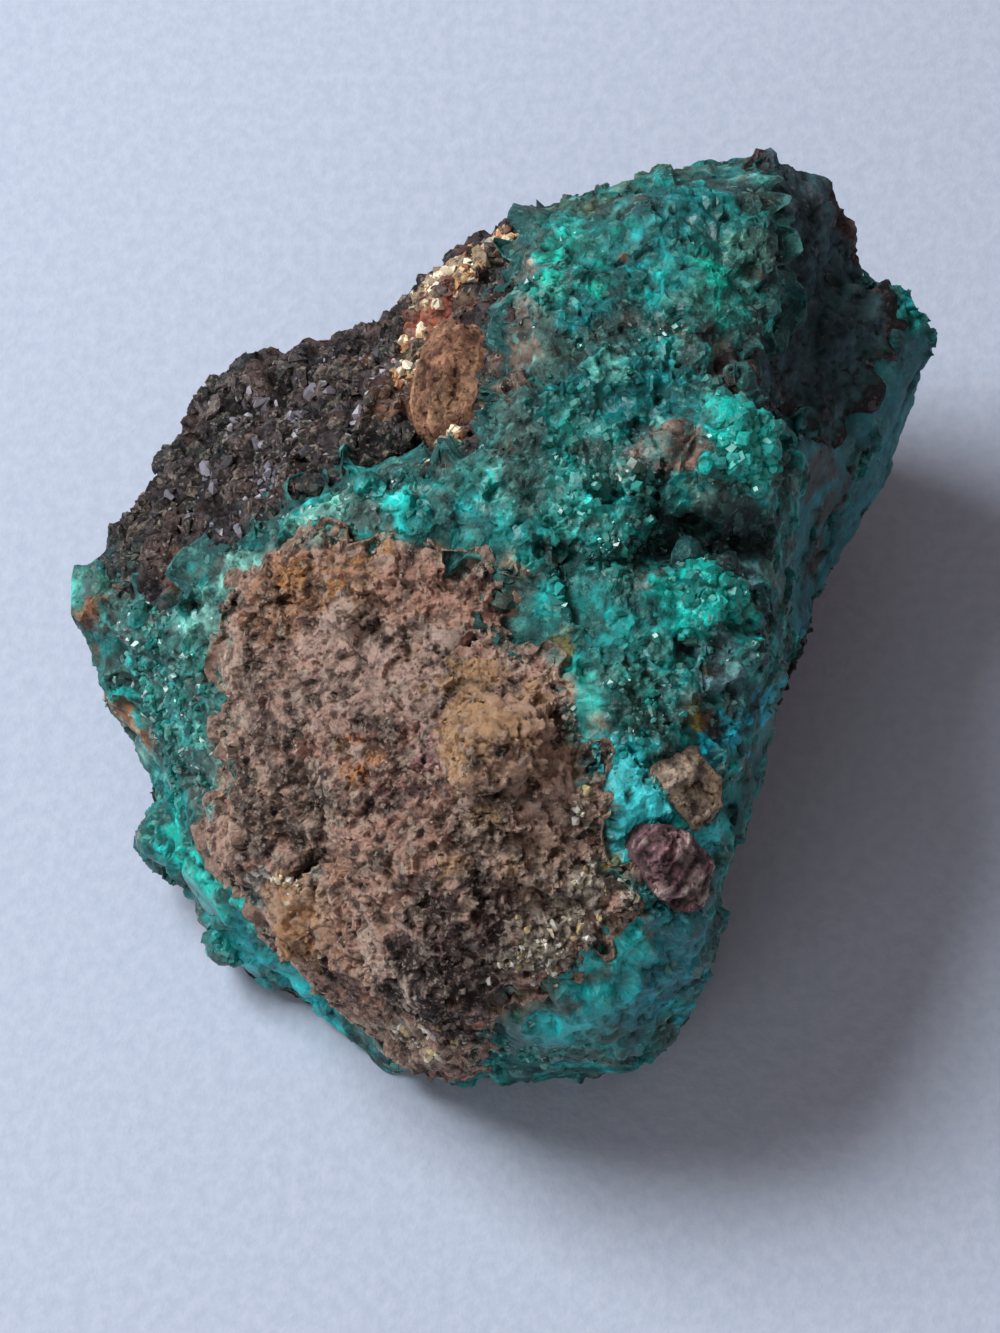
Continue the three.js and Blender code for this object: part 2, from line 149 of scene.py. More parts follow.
def streaked(points: np.ndarray, stretch: float) -> np.ndarray:
    """Turns places so that a field read there is drawn out along streaks that run up to the right.

    Args:
        points: Rows of x, y and z.
        stretch: How far it is drawn out.

    Returns:
        Rows of places along the streaks, across them and out of the broad face.
    """
    u, v, w = table_to_face(points).T
    return np.stack([(u + v) / (math.sqrt(2.0) * stretch), (u - v) / math.sqrt(2.0), w], axis=1)


class Skin:
    """The CAD solids' outer surface, for finding what lies under a place on the broad face."""

    def __init__(self, names: Sequence[str]) -> None:
        """Gathers the solids.

        Args:
            names: The CAD nodes that make up the surface.
        """
        points: list[np.ndarray] = []
        faces: list[list[int]] = []
        for name in names:
            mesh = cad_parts[name].data
            first = sum(len(block) for block in points)
            block = np.empty(len(mesh.vertices) * 3, np.float32)
            mesh.vertices.foreach_get("co", block)
            points.append(block.reshape(-1, 3) / MM)
            faces.extend([first + i for i in polygon.vertices] for polygon in mesh.polygons)
        self.tree = BVHTree.FromPolygons(np.concatenate(points).tolist(), faces)

    def seat(self, u: float, v: float) -> np.ndarray:
        """Finds the surface over a place on the broad face.

        Args:
            u: Millimetres across the face.
            v: Millimetres up the face.

        Returns:
            The x, y and z of the surface there, or of its nearest point.
        """
        start, end = face_to_table(np.array([[u, v, 60.0], [u, v, -60.0]]))
        hit = self.tree.ray_cast(Vector(start), Vector(end - start))[0]
        if hit is None:
            hit = self.tree.find_nearest(Vector(face_to_table(np.array([[u, v, 0.0]]))[0]))[0]
        return np.array(hit)

    def nearest(self, points: np.ndarray, reach: float) -> tuple[np.ndarray, np.ndarray]:
        """Finds how far points lie from the surface, and which way it is.

        Args:
            points: Rows of x, y and z.
            reach: The distance past which it isn't measured.

        Returns:
            One distance for each point, reach at most, and one vector to the surface, zero past reach.
        """
        distance = np.full(len(points), reach)
        away = np.zeros((len(points), 3))
        for i, point in enumerate(points.tolist()):
            place, _, _, found = self.tree.find_nearest(point, reach)
            if found is not None:
                distance[i] = found
                away[i] = place
                away[i] -= point
        return distance, away


# ---- Noise -------------------------------------------------------------------------------------


class Noise:
    """Seeded fields over points in millimetres: smooth noise, fracture faces and grown-together crystals."""

    def __init__(self, seed: int) -> None:
        """Draws the lattice's random values.

        Args:
            seed: The number that the fields are drawn from.
        """
        random = np.random.default_rng(seed)
        self.order = random.permutation(256)
        gradient = random.normal(size=(256, 3))
        self.gradient = gradient / np.linalg.norm(gradient, axis=1, keepdims=True)
        self.jitter = random.uniform(0.0, 1.0, size=(256, 3))
        self.turn = np.linalg.qr(random.normal(size=(256, 3, 3)))[0]

    def corner(self, cell: np.ndarray) -> np.ndarray:
        """Numbers a lattice cell.

        Args:
            cell: Rows of whole numbers.

        Returns:
            A number from 0 to 255 for each row.
        """
        index = self.order[cell[:, 0] & 255]
        index = self.order[(index + cell[:, 1]) & 255]
        return self.order[(index + cell[:, 2]) & 255]

    def smooth(self, points: np.ndarray, size: float) -> np.ndarray:
        """Smooth gradient noise.

        Args:
            points: Rows of x, y and z.
            size: The lattice's spacing.

        Returns:
            Values round 0, mostly between -0.6 and 0.6.
        """
        place = points / size
        base = np.floor(place).astype(int)
        part = place - base
        fade = part * part * part * (part * (part * 6.0 - 15.0) + 10.0)
        total = np.zeros(len(points))
        for step in np.ndindex(2, 2, 2):
            offset = np.array(step)
            slope = self.gradient[self.corner(base + offset)]
            weight = np.prod(np.where(offset == 1, fade, 1.0 - fade), axis=1)
            total += weight * np.einsum("ij,ij->i", slope, part - offset)
        return total

    def fractal(self, points: np.ndarray, size: float, octaves: int) -> np.ndarray:
        """Smooth noise with finer noise on it.

        Args:
            points: Rows of x, y and z.
            size: The coarsest lattice's spacing.
            octaves: How many lattices, each at half the spacing and half the height.

        Returns:
            Values round 0.
        """
        fields = (self.smooth(points + 17.0 * i, size / 2**i) / 2**i for i in range(octaves))
        return sum(fields)

    def plates(self, points: np.ndarray, size: float) -> tuple[np.ndarray, np.ndarray]:
        """The flat faces that a fracture leaves, with steps between them.

        Args:
            points: Rows of x, y and z.
            size: The faces' mean width.

        Returns:
            Heights over size, round 0, and each face's number from 0 to 1.
        """
        place = self.bent(points, 0.7 * size, 0.12 * size) / size
        base = np.floor(place).astype(int)
        nearest = np.full(len(points), 9.0)
        height = np.zeros(len(points))
        number = np.zeros(len(points))
        for step in np.ndindex(3, 3, 3):
            cell = base + np.array(step) - 1
            index = self.corner(cell)
            offset = place - cell - self.jitter[index]
            distance = np.linalg.norm(offset, axis=1)
            closer = distance < nearest
            plane = 0.45 * np.einsum("ij,ij->i", offset, self.gradient[index]) + 0.3 * (index / 255.0 - 0.5)
            height = np.where(closer, plane, height)
            number = np.where(closer, index / 255.0, number)
            nearest = np.where(closer, distance, nearest)
        return height, number

    def bent(self, points: np.ndarray, size: float, reach: float) -> np.ndarray:
        """Shifts points about, so that a field read there is drawn out and curled.

        Args:
            points: Rows of x, y and z.
            size: The shifts' spacing.
            reach: How far they go.

        Returns:
            The shifted points.
        """
        shifts = [self.fractal(points + 91.0 * (axis + 1), size, 2) for axis in range(3)]
        return points + 2.0 * reach * np.stack(shifts, axis=1)

    def facets(self, points: np.ndarray, size: float) -> tuple[np.ndarray, np.ndarray]:
        """The flat faces of crystals that grow together, each turned its own way.

        Args:
            points: Rows of x, y and z.
            size: The crystals' mean width.

        Returns:
            Heights over size, about 0 between crystals and 0.6 on their tips, and each crystal's number from
            0 to 1.
        """
        place = points / size
        base = np.floor(place).astype(int)
        height = np.full(len(points), -9.0)
        number = np.zeros(len(points))
        for step in np.ndindex(3, 3, 3):
            cell = base + np.array(step) - 1
            index = self.corner(cell)
            offset = place - cell - self.jitter[index]
            turned = np.einsum("ijk,ik->ij", self.turn[index], offset)
            face = 0.65 - 1.1 * np.abs(turned).max(axis=1)
            number = np.where(face > height, index / 255.0, number)
            height = np.maximum(height, face)
        return height, number


# The field that neighbours share, so that both sides of a contact match.
SHARED = Noise(5)


# ---- Surfaces ----------------------------------------------------------------------------------


class Surface:
    """The fine grid of points of one piece, in millimetres."""

    def __init__(self, mesh: bpy.types.Mesh) -> None:
        """Reads the grid from a mesh in metres.

        Args:
            mesh: A closed mesh.
        """
        self.mesh = mesh
        self.points = self._read("vertices", "co", 3, np.float32).astype(float) / MM
        self.edges = self._read("edges", "vertices", 2, np.int32)
        mesh.calc_loop_triangles()
        self.triangles = self._read("loop_triangles", "vertices", 3, np.int32)
        ends = np.concatenate([self.edges[:, 0], self.edges[:, 1]])
        self.degree = np.bincount(ends, minlength=len(self.points)).astype(float)

    def _read(self, collection: str, name: str, width: int, kind: type) -> np.ndarray:
        """Reads one property of the mesh as rows.

        Args:
            collection: The mesh's collection.
            name: The property of its items.
            width: How many numbers each item has.
            kind: The numbers' type.

        Returns:
            An array with one row for each item.
        """
        items = getattr(self.mesh, collection)
        flat = np.empty(len(items) * width, kind)
        items.foreach_get(name, flat)
        return flat.reshape(-1, width)

    def normals(self) -> np.ndarray:
        """Works out which way the surface faces.

        Returns:
            A unit vector for each point.
        """
        corners = self.points[self.triangles]
        faces = np.cross(corners[:, 1] - corners[:, 0], corners[:, 2] - corners[:, 0])
        total = np.zeros_like(self.points)
        for corner in range(3):
            for axis in range(3):
                index = self.triangles[:, corner]
                total[:, axis] += np.bincount(index, faces[:, axis], minlength=len(self.points))
        return total / np.maximum(np.linalg.norm(total, axis=1, keepdims=True), 1e-12)

    def relaxed(self, values: np.ndarray, rounds: int) -> np.ndarray:
        """Averages values with those of the neighbouring points.

        Args:
            values: One value or one row for each point.
            rounds: How many times.

        Returns:
            The averaged values, in the same shape.
        """
        first, second = self.edges.T
        columns = values.reshape(len(self.points), -1).copy()
        for _ in range(rounds):
            for axis in range(columns.shape[1]):
                column = columns[:, axis]
                total = np.bincount(first, column[second], minlength=len(column))
                total += np.bincount(second, column[first], minlength=len(column))
                columns[:, axis] = 0.5 * column + 0.5 * total / self.degree
        return columns.reshape(values.shape)

    def push(self, heights: np.ndarray) -> None:
        """Moves the points out along the way they face.

        Args:
            heights: How far each goes.
        """
        self.points += self.normals() * heights[:, None]

    def write(self, **layers: np.ndarray) -> None:
        """Puts the points back into the mesh, with named values for its material.

        Args:
            layers: One value, or a red, green and blue, for each point.
        """
        self.mesh.vertices.foreach_set("co", (self.points * MM).astype(np.float32).ravel())
        for name, values in layers.items():
            if values.ndim == 1:
                layer = self.mesh.attributes.new(name, "FLOAT", "POINT")
                layer.data.foreach_set("value", values.astype(np.float32))
            else:
                layer = self.mesh.attributes.new(name, "FLOAT_COLOR", "POINT")
                full = np.concatenate([values, np.ones((len(values), 1))], axis=1)
                layer.data.foreach_set("color", full.astype(np.float32).ravel())
        self.mesh.update()


@dataclass(frozen=True)
class Patch:
    """Part of a mineral with a look of its own, as spots on the broad face.

    Args:
        spots: Each spot's u, v and radius.
        colour: What it is coloured, or None where only its place is wanted.
        strength: How far the colour covers what is under it.
        ragged: How far its edge wanders, over its radius.
        last: Whether it covers the stains at the contacts too.
    """

    spots: tuple[Spot, ...]
    colour: Union[Colour, None] = None
    strength: float = 0.8
    ragged: float = 0.8
    last: bool = False

    # How far from a spot its edge can wander, and where it fades, all over its radius.
    REACH = 2.2
    FADE = (1.15, 0.75)

    def mask(self, points: np.ndarray, skin: Skin, noise: Noise) -> np.ndarray:
        """Works out how much of each point is in the patch.

        Args:
            points: Rows of x, y and z.
            skin: The surface that the spots lie on.
            noise: What its edge wanders by.

        Returns:
            Values from 0 to 1.
        """
        total = np.zeros(len(points))
        for u, v, radius in self.spots:
            distance = np.linalg.norm(points - skin.seat(u, v), axis=1) / radius
            near = distance < self.REACH
            wander = noise.fractal(points[near] + 5.0 * u, 0.5 + 0.6 * radius, 4)
            share = smooth_step(distance[near] + 2.0 * self.ragged * wander, *self.FADE)
            total[near] = np.maximum(total[near], share)
        return total


@dataclass(frozen=True)
class Stain:
    """The neighbour's colour where it laps over the contact.

    Args:
        node: The neighbour's CAD node.
        colours: Its colours near the contact, mixed by noise.
        reach: How far it laps over, in millimetres.
        side: 1 for the piece that gives way where the shared field is low, -1 for its neighbour.
        strength: How far it covers.
        blur: How soft its edge is, over its reach.
    """

    node: str
    colours: tuple[Colour, Colour]
    reach: float
    side: float
    strength: float = 0.9
    blur: float = 0.5

    # How far out it is looked for, over its reach, and the widths of its edge's and its colours' fields.
    LIMIT = 1.6
    EDGE_WIDTH = 2.6
    COLOUR_WIDTH = 1.6

    def paint(self, tone: np.ndarray, points: np.ndarray) -> np.ndarray:
        """Covers the tones near the contact.

        Args:
            tone: A linear red, green and blue for each point.
            points: Rows of x, y and z.

        Returns:
            The new tones.
        """
        distance = Skin([self.node]).nearest(points, self.LIMIT * self.reach)[0] / self.reach
        wander = 2.6 * SHARED.fractal(points, self.EDGE_WIDTH, 5)
        share = self.strength * smooth_step(distance + self.side * wander, self.blur, -self.blur)[:, None]
        mixed = smooth_step(SHARED.fractal(points + 40.0, self.COLOUR_WIDTH, 3), -0.15, 0.15)[:, None]
        first, second = (linear(colour) for colour in self.colours)
        return tone * (1.0 - share) + (first * (1.0 - mixed) + second * mixed) * share


# ---- Materials ---------------------------------------------------------------------------------


class Wire:
    """An output of a material's node, which can be reckoned with."""

    def __init__(self, graph: "Graph", socket: bpy.types.NodeSocket) -> None:
        """Keeps the socket.

        Args:
            graph: The material that the socket is in.
            socket: The output.
        """
        self.graph = graph
        self.socket = socket

    def _math(self, operation: str, first: Any, second: Any = 0.0) -> "Wire":
        """Adds a Math node.

        Args:
            operation: The node's operation.
            first: Its first input.
            second: Its second input.

        Returns:
            The node's output.
        """
        node = self.graph.node("ShaderNodeMath", {"operation": operation}, {0: first, 1: second})
        return Wire(self.graph, node.outputs[0])

    def __add__(self, other: Any) -> "Wire":
        return self._math("ADD", self, other)

    def __sub__(self, other: Any) -> "Wire":
        return self._math("SUBTRACT", self, other)

    def __rsub__(self, other: Any) -> "Wire":
        return self._math("SUBTRACT", other, self)

    def __mul__(self, other: Any) -> "Wire":
        return self._math("MULTIPLY", self, other)

    def ramp(self, low: float, high: float) -> "Wire":
        """Rises smoothly from 0 at low to 1 at high.

        Args:
            low: Where the rise starts.
            high: Where it ends.

        Returns:
            The ramp's output.
        """
        settings = {"interpolation_type": "SMOOTHSTEP"}
        sockets = {"Value": self, "From Min": low, "From Max": high}
        node = self.graph.node("ShaderNodeMapRange", settings, sockets)
        return Wire(self.graph, node.outputs["Result"])

    def mix(self, colour: Any, other: Any, blend: str = "MIX") -> "Wire":
        """Mixes two colours by this wire.

        Args:
            colour: The colour where this is 0.
            other: The colour where this is 1.
            blend: How the two are blended.

        Returns:
            The mixed colour.
        """
        settings = {"data_type": "RGBA", "blend_type": blend, "clamp_factor": True}
        node = self.graph.node("ShaderNodeMix", settings, {0: self, 6: colour, 7: other})
        return Wire(self.graph, node.outputs[2])


class Graph:
    """One material's nodes."""

    def __init__(self, name: str) -> None:
        """Makes the material with its surface shader.

        Args:
            name: The material's name.
        """
        self.material = bpy.data.materials.new(name)
        self.material.use_nodes = True
        self.tree = self.material.node_tree
        self.tree.nodes.clear()
        self.shader = self.node("ShaderNodeBsdfPrincipled")
        self.node("ShaderNodeOutputMaterial", {}, {"Surface": Wire(self, self.shader.outputs[0])})
        self.place = Wire(self, self.node("ShaderNodeTexCoord").outputs["Object"])

    def node(
        self,
        kind: str,
        settings: Union[dict[str, Any], None] = None,
        sockets: Union[dict[Union[int, str], Any], None] = None,
    ) -> bpy.types.Node:
        """Adds any node.

        Args:
            kind: The node's type.
            settings: Its properties.
            sockets: Its inputs by name or number, each a wire or a value.

        Returns:
            The node.
        """
        node = self.tree.nodes.new(kind)
        for name, value in (settings or {}).items():
            setattr(node, name, value)
        for name, value in (sockets or {}).items():
            self.feed(node, name, value)
        return node

    def feed(self, node: bpy.types.Node, name: Union[int, str], value: Any) -> None:
        """Links a wire to an input, or sets its value.

        Args:
            node: The node.
            name: The input's name or number.
            value: A wire, a number or a colour.
        """
        socket = node.inputs[name]
        if isinstance(value, Wire):
            self.tree.links.new(value.socket, socket)
        elif isinstance(value, (tuple, list, np.ndarray)) and socket.type == "RGBA":
            socket.default_value = (*value[:3], 1.0)
        else:
            socket.default_value = value

    def layer(self, name: str, colour: bool = False) -> Wire:
        """Reads a named value of the mesh.

        Args:
            name: The value's name.
            colour: Whether it is a colour.

        Returns:
            The value.
        """
        node = self.node("ShaderNodeAttribute", {"attribute_name": name})
        return Wire(self, node.outputs["Color" if colour else "Fac"])

    def noise(self, size: float, detail: float = 4.0, rough: float = 0.55, bend: float = 0.0) -> Wire:
        """Smooth noise.

        Args:
            size: Its coarsest features in millimetres.
            detail: How many finer layers it has.
            rough: How strong they are.
            bend: How far it is distorted.

        Returns:
            A value round 0.5.
        """
        sockets = {
            "Vector": self.place,
            "Scale": 1.0 / (size * MM),
            "Detail": detail,
            "Roughness": rough,
            "Distortion": bend,
        }
        return Wire(self, self.node("ShaderNodeTexNoise", {}, sockets).outputs["Fac"])

    def flakes(self, size: float, place: Wire) -> tuple[Wire, Wire]:
        """Small flat faces, each tipped its own way.

        Args:
            size: Their width in millimetres.
            place: Where they are read.

        Returns:
            Their height over their width, round 0, and each one's own number from 0 to 1.
        """
        cell = self.node("ShaderNodeTexVoronoi", {}, {"Vector": place, "Scale": 1.0 / (size * MM)})
        offset = self.vector("SUBTRACT", place, Wire(self, cell.outputs["Position"]))
        lean = self.vector("SUBTRACT", Wire(self, cell.outputs["Color"]), (0.5, 0.5, 0.5))
        slope = self.node("ShaderNodeVectorMath", {"operation": "DOT_PRODUCT"}, {0: offset, 1: lean})
        number = self.node("ShaderNodeSeparateColor", {}, {0: Wire(self, cell.outputs["Color"])})
        return Wire(self, slope.outputs["Value"]) * (1.0 / (size * MM)), Wire(self, number.outputs[1])

    def ragged(self, size: float, reach: float) -> Wire:
        """The place on the object, shifted about so that what is read there has ragged edges.

        Args:
            size: The shifts' spacing in millimetres.
            reach: How far they go, in millimetres.

        Returns:
            The shifted place.
        """
        sockets = {"Vector": self.place, "Scale": 1.0 / (size * MM), "Detail": 3.0, "Roughness": 0.6}
        colour = Wire(self, self.node("ShaderNodeTexNoise", {}, sockets).outputs["Color"])
        shift = self.vector("SUBTRACT", colour, (0.5, 0.5, 0.5))
        far = 4.0 * reach * MM
        return self.vector("ADD", self.place, self.vector("MULTIPLY", shift, (far, far, far)))

    def vector(self, operation: str, first: Any, second: Any) -> Wire:
        """Adds a Vector Math node.

        Args:
            operation: The node's operation.
            first: Its first input.
            second: Its second input.

        Returns:
            The node's vector.
        """
        node = self.node("ShaderNodeVectorMath", {"operation": operation}, {0: first, 1: second})
        return Wire(self, node.outputs["Vector"])

    def layered(self, colour: Wire, layers: Sequence[tuple[Wire, Colour]]) -> Wire:
        """Lays colours over each other.

        Args:
            colour: The lowest colour.
            layers: How far each one covers what is under it, and its colour.

        Returns:
            The mixed colour.
        """
        for share, over in layers:
            colour = share.mix(colour, linear(over))
        return colour

    def bump(self, height: Wire, depth: float) -> Wire:
        """Turns a height into relief.

        Args:
            height: The height from 0 to 1.
            depth: What 1 stands for in millimetres.

        Returns:
            The surface's direction.
        """
        sockets = {"Height": height, "Distance": depth * MM, "Strength": 1.0}
        return Wire(self, self.node("ShaderNodeBump", {}, sockets).outputs["Normal"])

    def dress(self, **sockets: Any) -> bpy.types.Material:
        """Sets the shader's inputs.

        Args:
            sockets: Inputs, their names in lower case with underscores.

        Returns:
            The finished material.
        """
        names = {socket.name.lower().replace(" ", "_"): socket.name for socket in self.shader.inputs}
        for name, value in sockets.items():
            self.feed(self.shader, names[name], value)
        return self.material


@dataclass(frozen=True)
class RockFinish:
    """A matt granular rock. Its colour comes from the piece's own tones.

    Args:
        name: The material's name.
        grain: The grains' size in millimetres.
        shade: The colour of its pores and darkest grains, and of the shade painted into its hollows.
        glow: The colour of its freshest grains.
        roughness: How matt it is.
        depth: How deep the finest relief is, in millimetres.
        dirt_and_shade: How dark its hollows are painted, for dirt and for the shade that falls in them.
        pores: How dark its finest pores are.
        sparkle: How bright its finest grains are.
    """

    name: str
    grain: float
    shade: Colour
    glow: Colour
    roughness: float = 0.85
    depth: float = 0.4
    dirt_and_shade: float = 0.55
    pores: float = 0.8
    sparkle: float = 0.5

    def material(self) -> bpy.types.Material:
        """Builds the material.

        Returns:
            The finished material.
        """
        graph = Graph(self.name)
        tone = graph.layer("tone", colour=True)
        dip = graph.layer("dip")
        lively = 1.0 - graph.layer("calm") * 0.7
        place = graph.ragged(0.5 * self.grain, 0.12 * self.grain)
        clouds = graph.noise(3.2 * self.grain, 4.0, 0.7)
        fine = graph.noise(0.7 * self.grain, 6.0, 0.85)
        slope, number = graph.flakes(self.grain, place)
        crumb, fleck = graph.flakes(0.4 * self.grain, place)
        colour = graph.layered(
            tone,
            (
                (clouds.ramp(0.46, 0.3) * lively * 0.5, self.shade),
                (clouds.ramp(0.55, 0.7) * lively * 0.35, self.glow),
                (number.ramp(0.25, 0.0) * lively * 0.45, self.shade),
                (number.ramp(0.78, 1.0) * lively * 0.45, self.glow),
                (fine.ramp(0.47, 0.37) * lively * self.pores, self.shade),
                (fine.ramp(0.54, 0.65) * lively * self.sparkle, self.glow),
                (fleck.ramp(0.12, 0.02) * lively * 0.6, self.shade),
                (fleck.ramp(0.88, 0.98) * 0.45, self.glow),
                # Painted shade, with some dirt: the hollows that the dip layer marks are darkened towards the
                # shade colour.
                (dip.ramp(0.55, 0.95) * self.dirt_and_shade, self.shade),
            ),
        )
        height = fine * 1.1 + slope * self.grain + crumb * (0.4 * self.grain)
        return graph.dress(
            base_color=colour,
            roughness=fine * 0.3 + (self.roughness - 0.15),
            normal=graph.bump(height, self.depth),
            specular_ior_level=0.3,
        )


@dataclass(frozen=True)
class DioptaseFinish:
    """The crust: vitreous, from turquoise to deep green, with dirt and painted shade in its hollows.

    Args:
        name: The material's name.
        shade: The colour of its darker spots and grains, and of the shade painted into its hollows.
        glow: The colour of its edges and freshest faces.
    """

    name: str
    shade: Colour
    glow: Colour

    def material(self) -> bpy.types.Material:
        """Builds the material.

        Returns:
            The finished material.
        """
        graph = Graph(self.name)
        tone = graph.layer("tone", colour=True)
        dip = graph.layer("dip")
        gloss = graph.layer("gloss")
        lively = 1.0 - graph.layer("calm") * 0.7 - graph.layer("glassy") * 0.5
        place = graph.ragged(0.8, 0.16)
        clouds = graph.noise(2.6, 5.0, 0.7)
        fine = graph.noise(0.45, 5.0, 0.75)
        face, number = graph.flakes(1.3, place)
        chip, fleck = graph.flakes(0.5, place)
        colour = graph.layered(
            tone,
            (
                (clouds.ramp(0.48, 0.3) * lively * 0.45, self.shade),
                (clouds.ramp(0.56, 0.72) * lively * 0.3, self.glow),
                (number.ramp(0.25, 0.0) * lively * 0.35, self.shade),
                (number.ramp(0.84, 1.0) * lively * 0.25, self.glow),
                (fleck.ramp(0.2, 0.0) * lively * 0.35, self.shade),
                (fleck.ramp(0.9, 0.98) * lively * 0.45, self.glow),
                (fine.ramp(0.46, 0.35) * lively * 0.55, self.shade),
                (fine.ramp(0.55, 0.67) * lively * 0.35, self.glow),
                # Painted shade, with some dirt: the hollows that the dip layer marks are darkened towards the
                # shade colour.
                (dip.ramp(0.55, 0.95) * 0.5, self.shade),
            ),
        )
        height = face + chip * 0.6 + fine * (0.5 - gloss * 0.3)
        return graph.dress(
            base_color=colour,
            roughness=0.5 - gloss * 0.16 + (fine - 0.5) * 0.5,
            normal=graph.bump(height, 0.4),
            ior=1.5,
            coat_weight=gloss * 0.25,
            coat_roughness=0.2,
            subsurface_weight=0.15,
            subsurface_radius=(0.3, 1.0, 0.9),
            subsurface_scale=0.001,
        )


@dataclass(frozen=True)
class CrystalFinish:
    """Small clear crystals.

    Args:
        name: The material's name.
        transmission: How clear they are.
        ior: Their index of refraction.
        roughness: How dull their faces are.
    """

    name: str
    transmission: float
    ior: float
    roughness: float = 0.08

    def material(self) -> bpy.types.Material:
        """Builds the material.

        Returns:
            The finished material.
        """
        graph = Graph(self.name)
        tone = graph.layer("tone", colour=True)
        cloud = graph.noise(0.4, 3.0)
        colour = (cloud.ramp(0.55, 0.3) * 0.4).mix(tone, linear((18, 70, 66)))
        return graph.dress(
            base_color=colour,
            roughness=cloud * 0.25 + self.roughness,
            ior=self.ior,
            transmission_weight=self.transmission,
        )


# ---- The pieces --------------------------------------------------------------------------------


@dataclass
class Mineral:
    """One piece of the specimen: a CAD solid with its fine surface.

    Args:
        node: The CAD node that it stands for.
        slot: The record's material slot; not used here.
        finish: Its material.
        voxel: The fine grid's spacing in millimetres.
        ground: The colours that its patches lie on, mixed by noise.
        patches: Stains, veins and zones.
        relief: Works out the heights of its surface, and each grain's number.
        stains: Tints near its contacts.
        zones: Places with a relief or a gloss of their own.
        contrast: How far its shade varies from place to place and from grain to grain.
        vivid: How far its colours stand apart from grey; 1 leaves them as they are.
        streak: How far its shade follows streaks that run up to the right.
        worn: How many rounds its corners are rounded for.
        lap: How far its edge laps over its neighbours on average, in millimetres.
        sink: How far its edge dips where it meets them, in millimetres.
        side: 1 where it laps furthest where the shared field is high, -1 where that is low.
        swell: The height of the swells that it shares with its neighbours, in millimetres.
        facet: The share of the fine grid's triangles that is kept, so that the others' faces are larger.
        seed: The number that its fields are drawn from.
        points: Once built, the surface's points, as rows of x, y and z.
        normals: The way that it faces at each point.
        tone: Each point's linear red, green and blue.
        near: How near each point is to a neighbour, up to 1.
        seen: Whether each point is in sight.
        free: How lively the surface is at each point, up to 1.
    """

    node: str
    slot: str
    finish: Any
    voxel: float
    ground: tuple[Colour, ...]
    patches: tuple[Patch, ...]
    relief: Callable[[np.ndarray, Noise, dict[str, np.ndarray]], tuple[np.ndarray, np.ndarray]]
    stains: tuple[Stain, ...] = ()
    zones: dict[str, Patch] = field(default_factory=dict)
    contrast: float = 0.4
    vivid: float = 1.0
    streak: float = 0.0
    worn: int = 2
    lap: float = 0.65
    sink: float = 0.0
    side: float = -1.0
    swell: float = 1.0
    facet: float = 0.6
    seed: int = 1
    points: np.ndarray = field(init=False, repr=False, compare=False)
    normals: np.ndarray = field(init=False, repr=False, compare=False)
    tone: np.ndarray = field(init=False, repr=False, compare=False)
    near: np.ndarray = field(init=False, repr=False, compare=False)
    seen: np.ndarray = field(init=False, repr=False, compare=False)
    free: np.ndarray = field(init=False, repr=False, compare=False)

    # Contacts: where a piece lies against its neighbours, and how its edge is rounded there.
    SEAM_REACH = 1.5
    SEAM_FILL = 0.25
    LAP_ROUNDS = 3
    SETTLE_ROUNDS = 4
    SINK_ROUNDS = 8
    OUT_OF_SIGHT = 0.95
    BARE_REACH = 2.5
    WANDER_WIDTH = 2.4
    AIR_REACH = 3.0
    AIR_LEFT = 0.25
    # Heights in millimetres, and how far they are held back out of sight and near the box.
    SWELL_WIDTH = 6.5
    HIGHEST = 1.1
    DEEPEST = -2.4
    FOOT = (0.2, 2.0)
    HIDDEN_EASE = 0.8
    ROOM_SHARE = 0.55
    # The places with a smoother surface, and how much less lively they are.
    SMOOTHER = ("calm", "glassy", "crack")
    SMOOTHER_EASE = 0.8
    # The most light that a point gives back, so that none of it glares.
    LIGHTEST = 0.88
    THIN_SHARE = 0.7
    MOST_TRIANGLES = 190000
    QUICK_VOXEL = 1.6

    def build(self, skin: Skin, others: Skin, bare: Union[Skin, None] = None) -> None:
        """Makes the piece's mesh and dresses it.

        Args:
            skin: The whole specimen's surface.
            others: The other pieces' surface.
            bare: The surface of those that its edge doesn't lap over.
        """
        piece = self._grid()
        surface = Surface(piece.data)
        noise = Noise(self.seed)
        surface.points = surface.relaxed(surface.points, self.worn)
        hidden, self.near, towards = self._contact(surface, others, bare)
        surface.push(hidden * self.SEAM_FILL)
        lap = self._overlap(surface.points)[:, None]
        surface.points += surface.relaxed(towards * lap, self.LAP_ROUNDS)
        self._settle(surface, others, self.near * (1.0 - hidden))
        self.seen = hidden < self.OUT_OF_SIGHT
        points = surface.points[self.seen]
        zones = {name: patch.mask(points, skin, noise) for name, patch in self.zones.items()}
        self.free = np.ones(len(surface.points))
        for name in self.SMOOTHER:
            if name in zones:
                self.free[self.seen] *= 1.0 - self.SMOOTHER_EASE * zones[name]
        relief, number = self.relief(points, noise, zones)
        ways = surface.normals()
        heights = self._heights(surface, ways, relief, hidden, zones.get("calm", np.zeros(len(points))))
        surface.points -= surface.relaxed(ways * self._drop(surface, hidden)[:, None], self.SINK_ROUNDS)
        self.tone = np.tile(linear(self.ground[0]), (len(surface.points), 1))
        self.tone[self.seen] = self._tone(points, number, self.free[self.seen], skin, noise)
        surface.push(heights)
        surface.points = np.clip(surface.points, *cad_limits())
        self.points, self.normals = surface.points, surface.normals()
        layers = {name: np.zeros(len(surface.points)) for name in (*zones, "calm")}
        for name, values in zones.items():
            layers[name][self.seen] = values
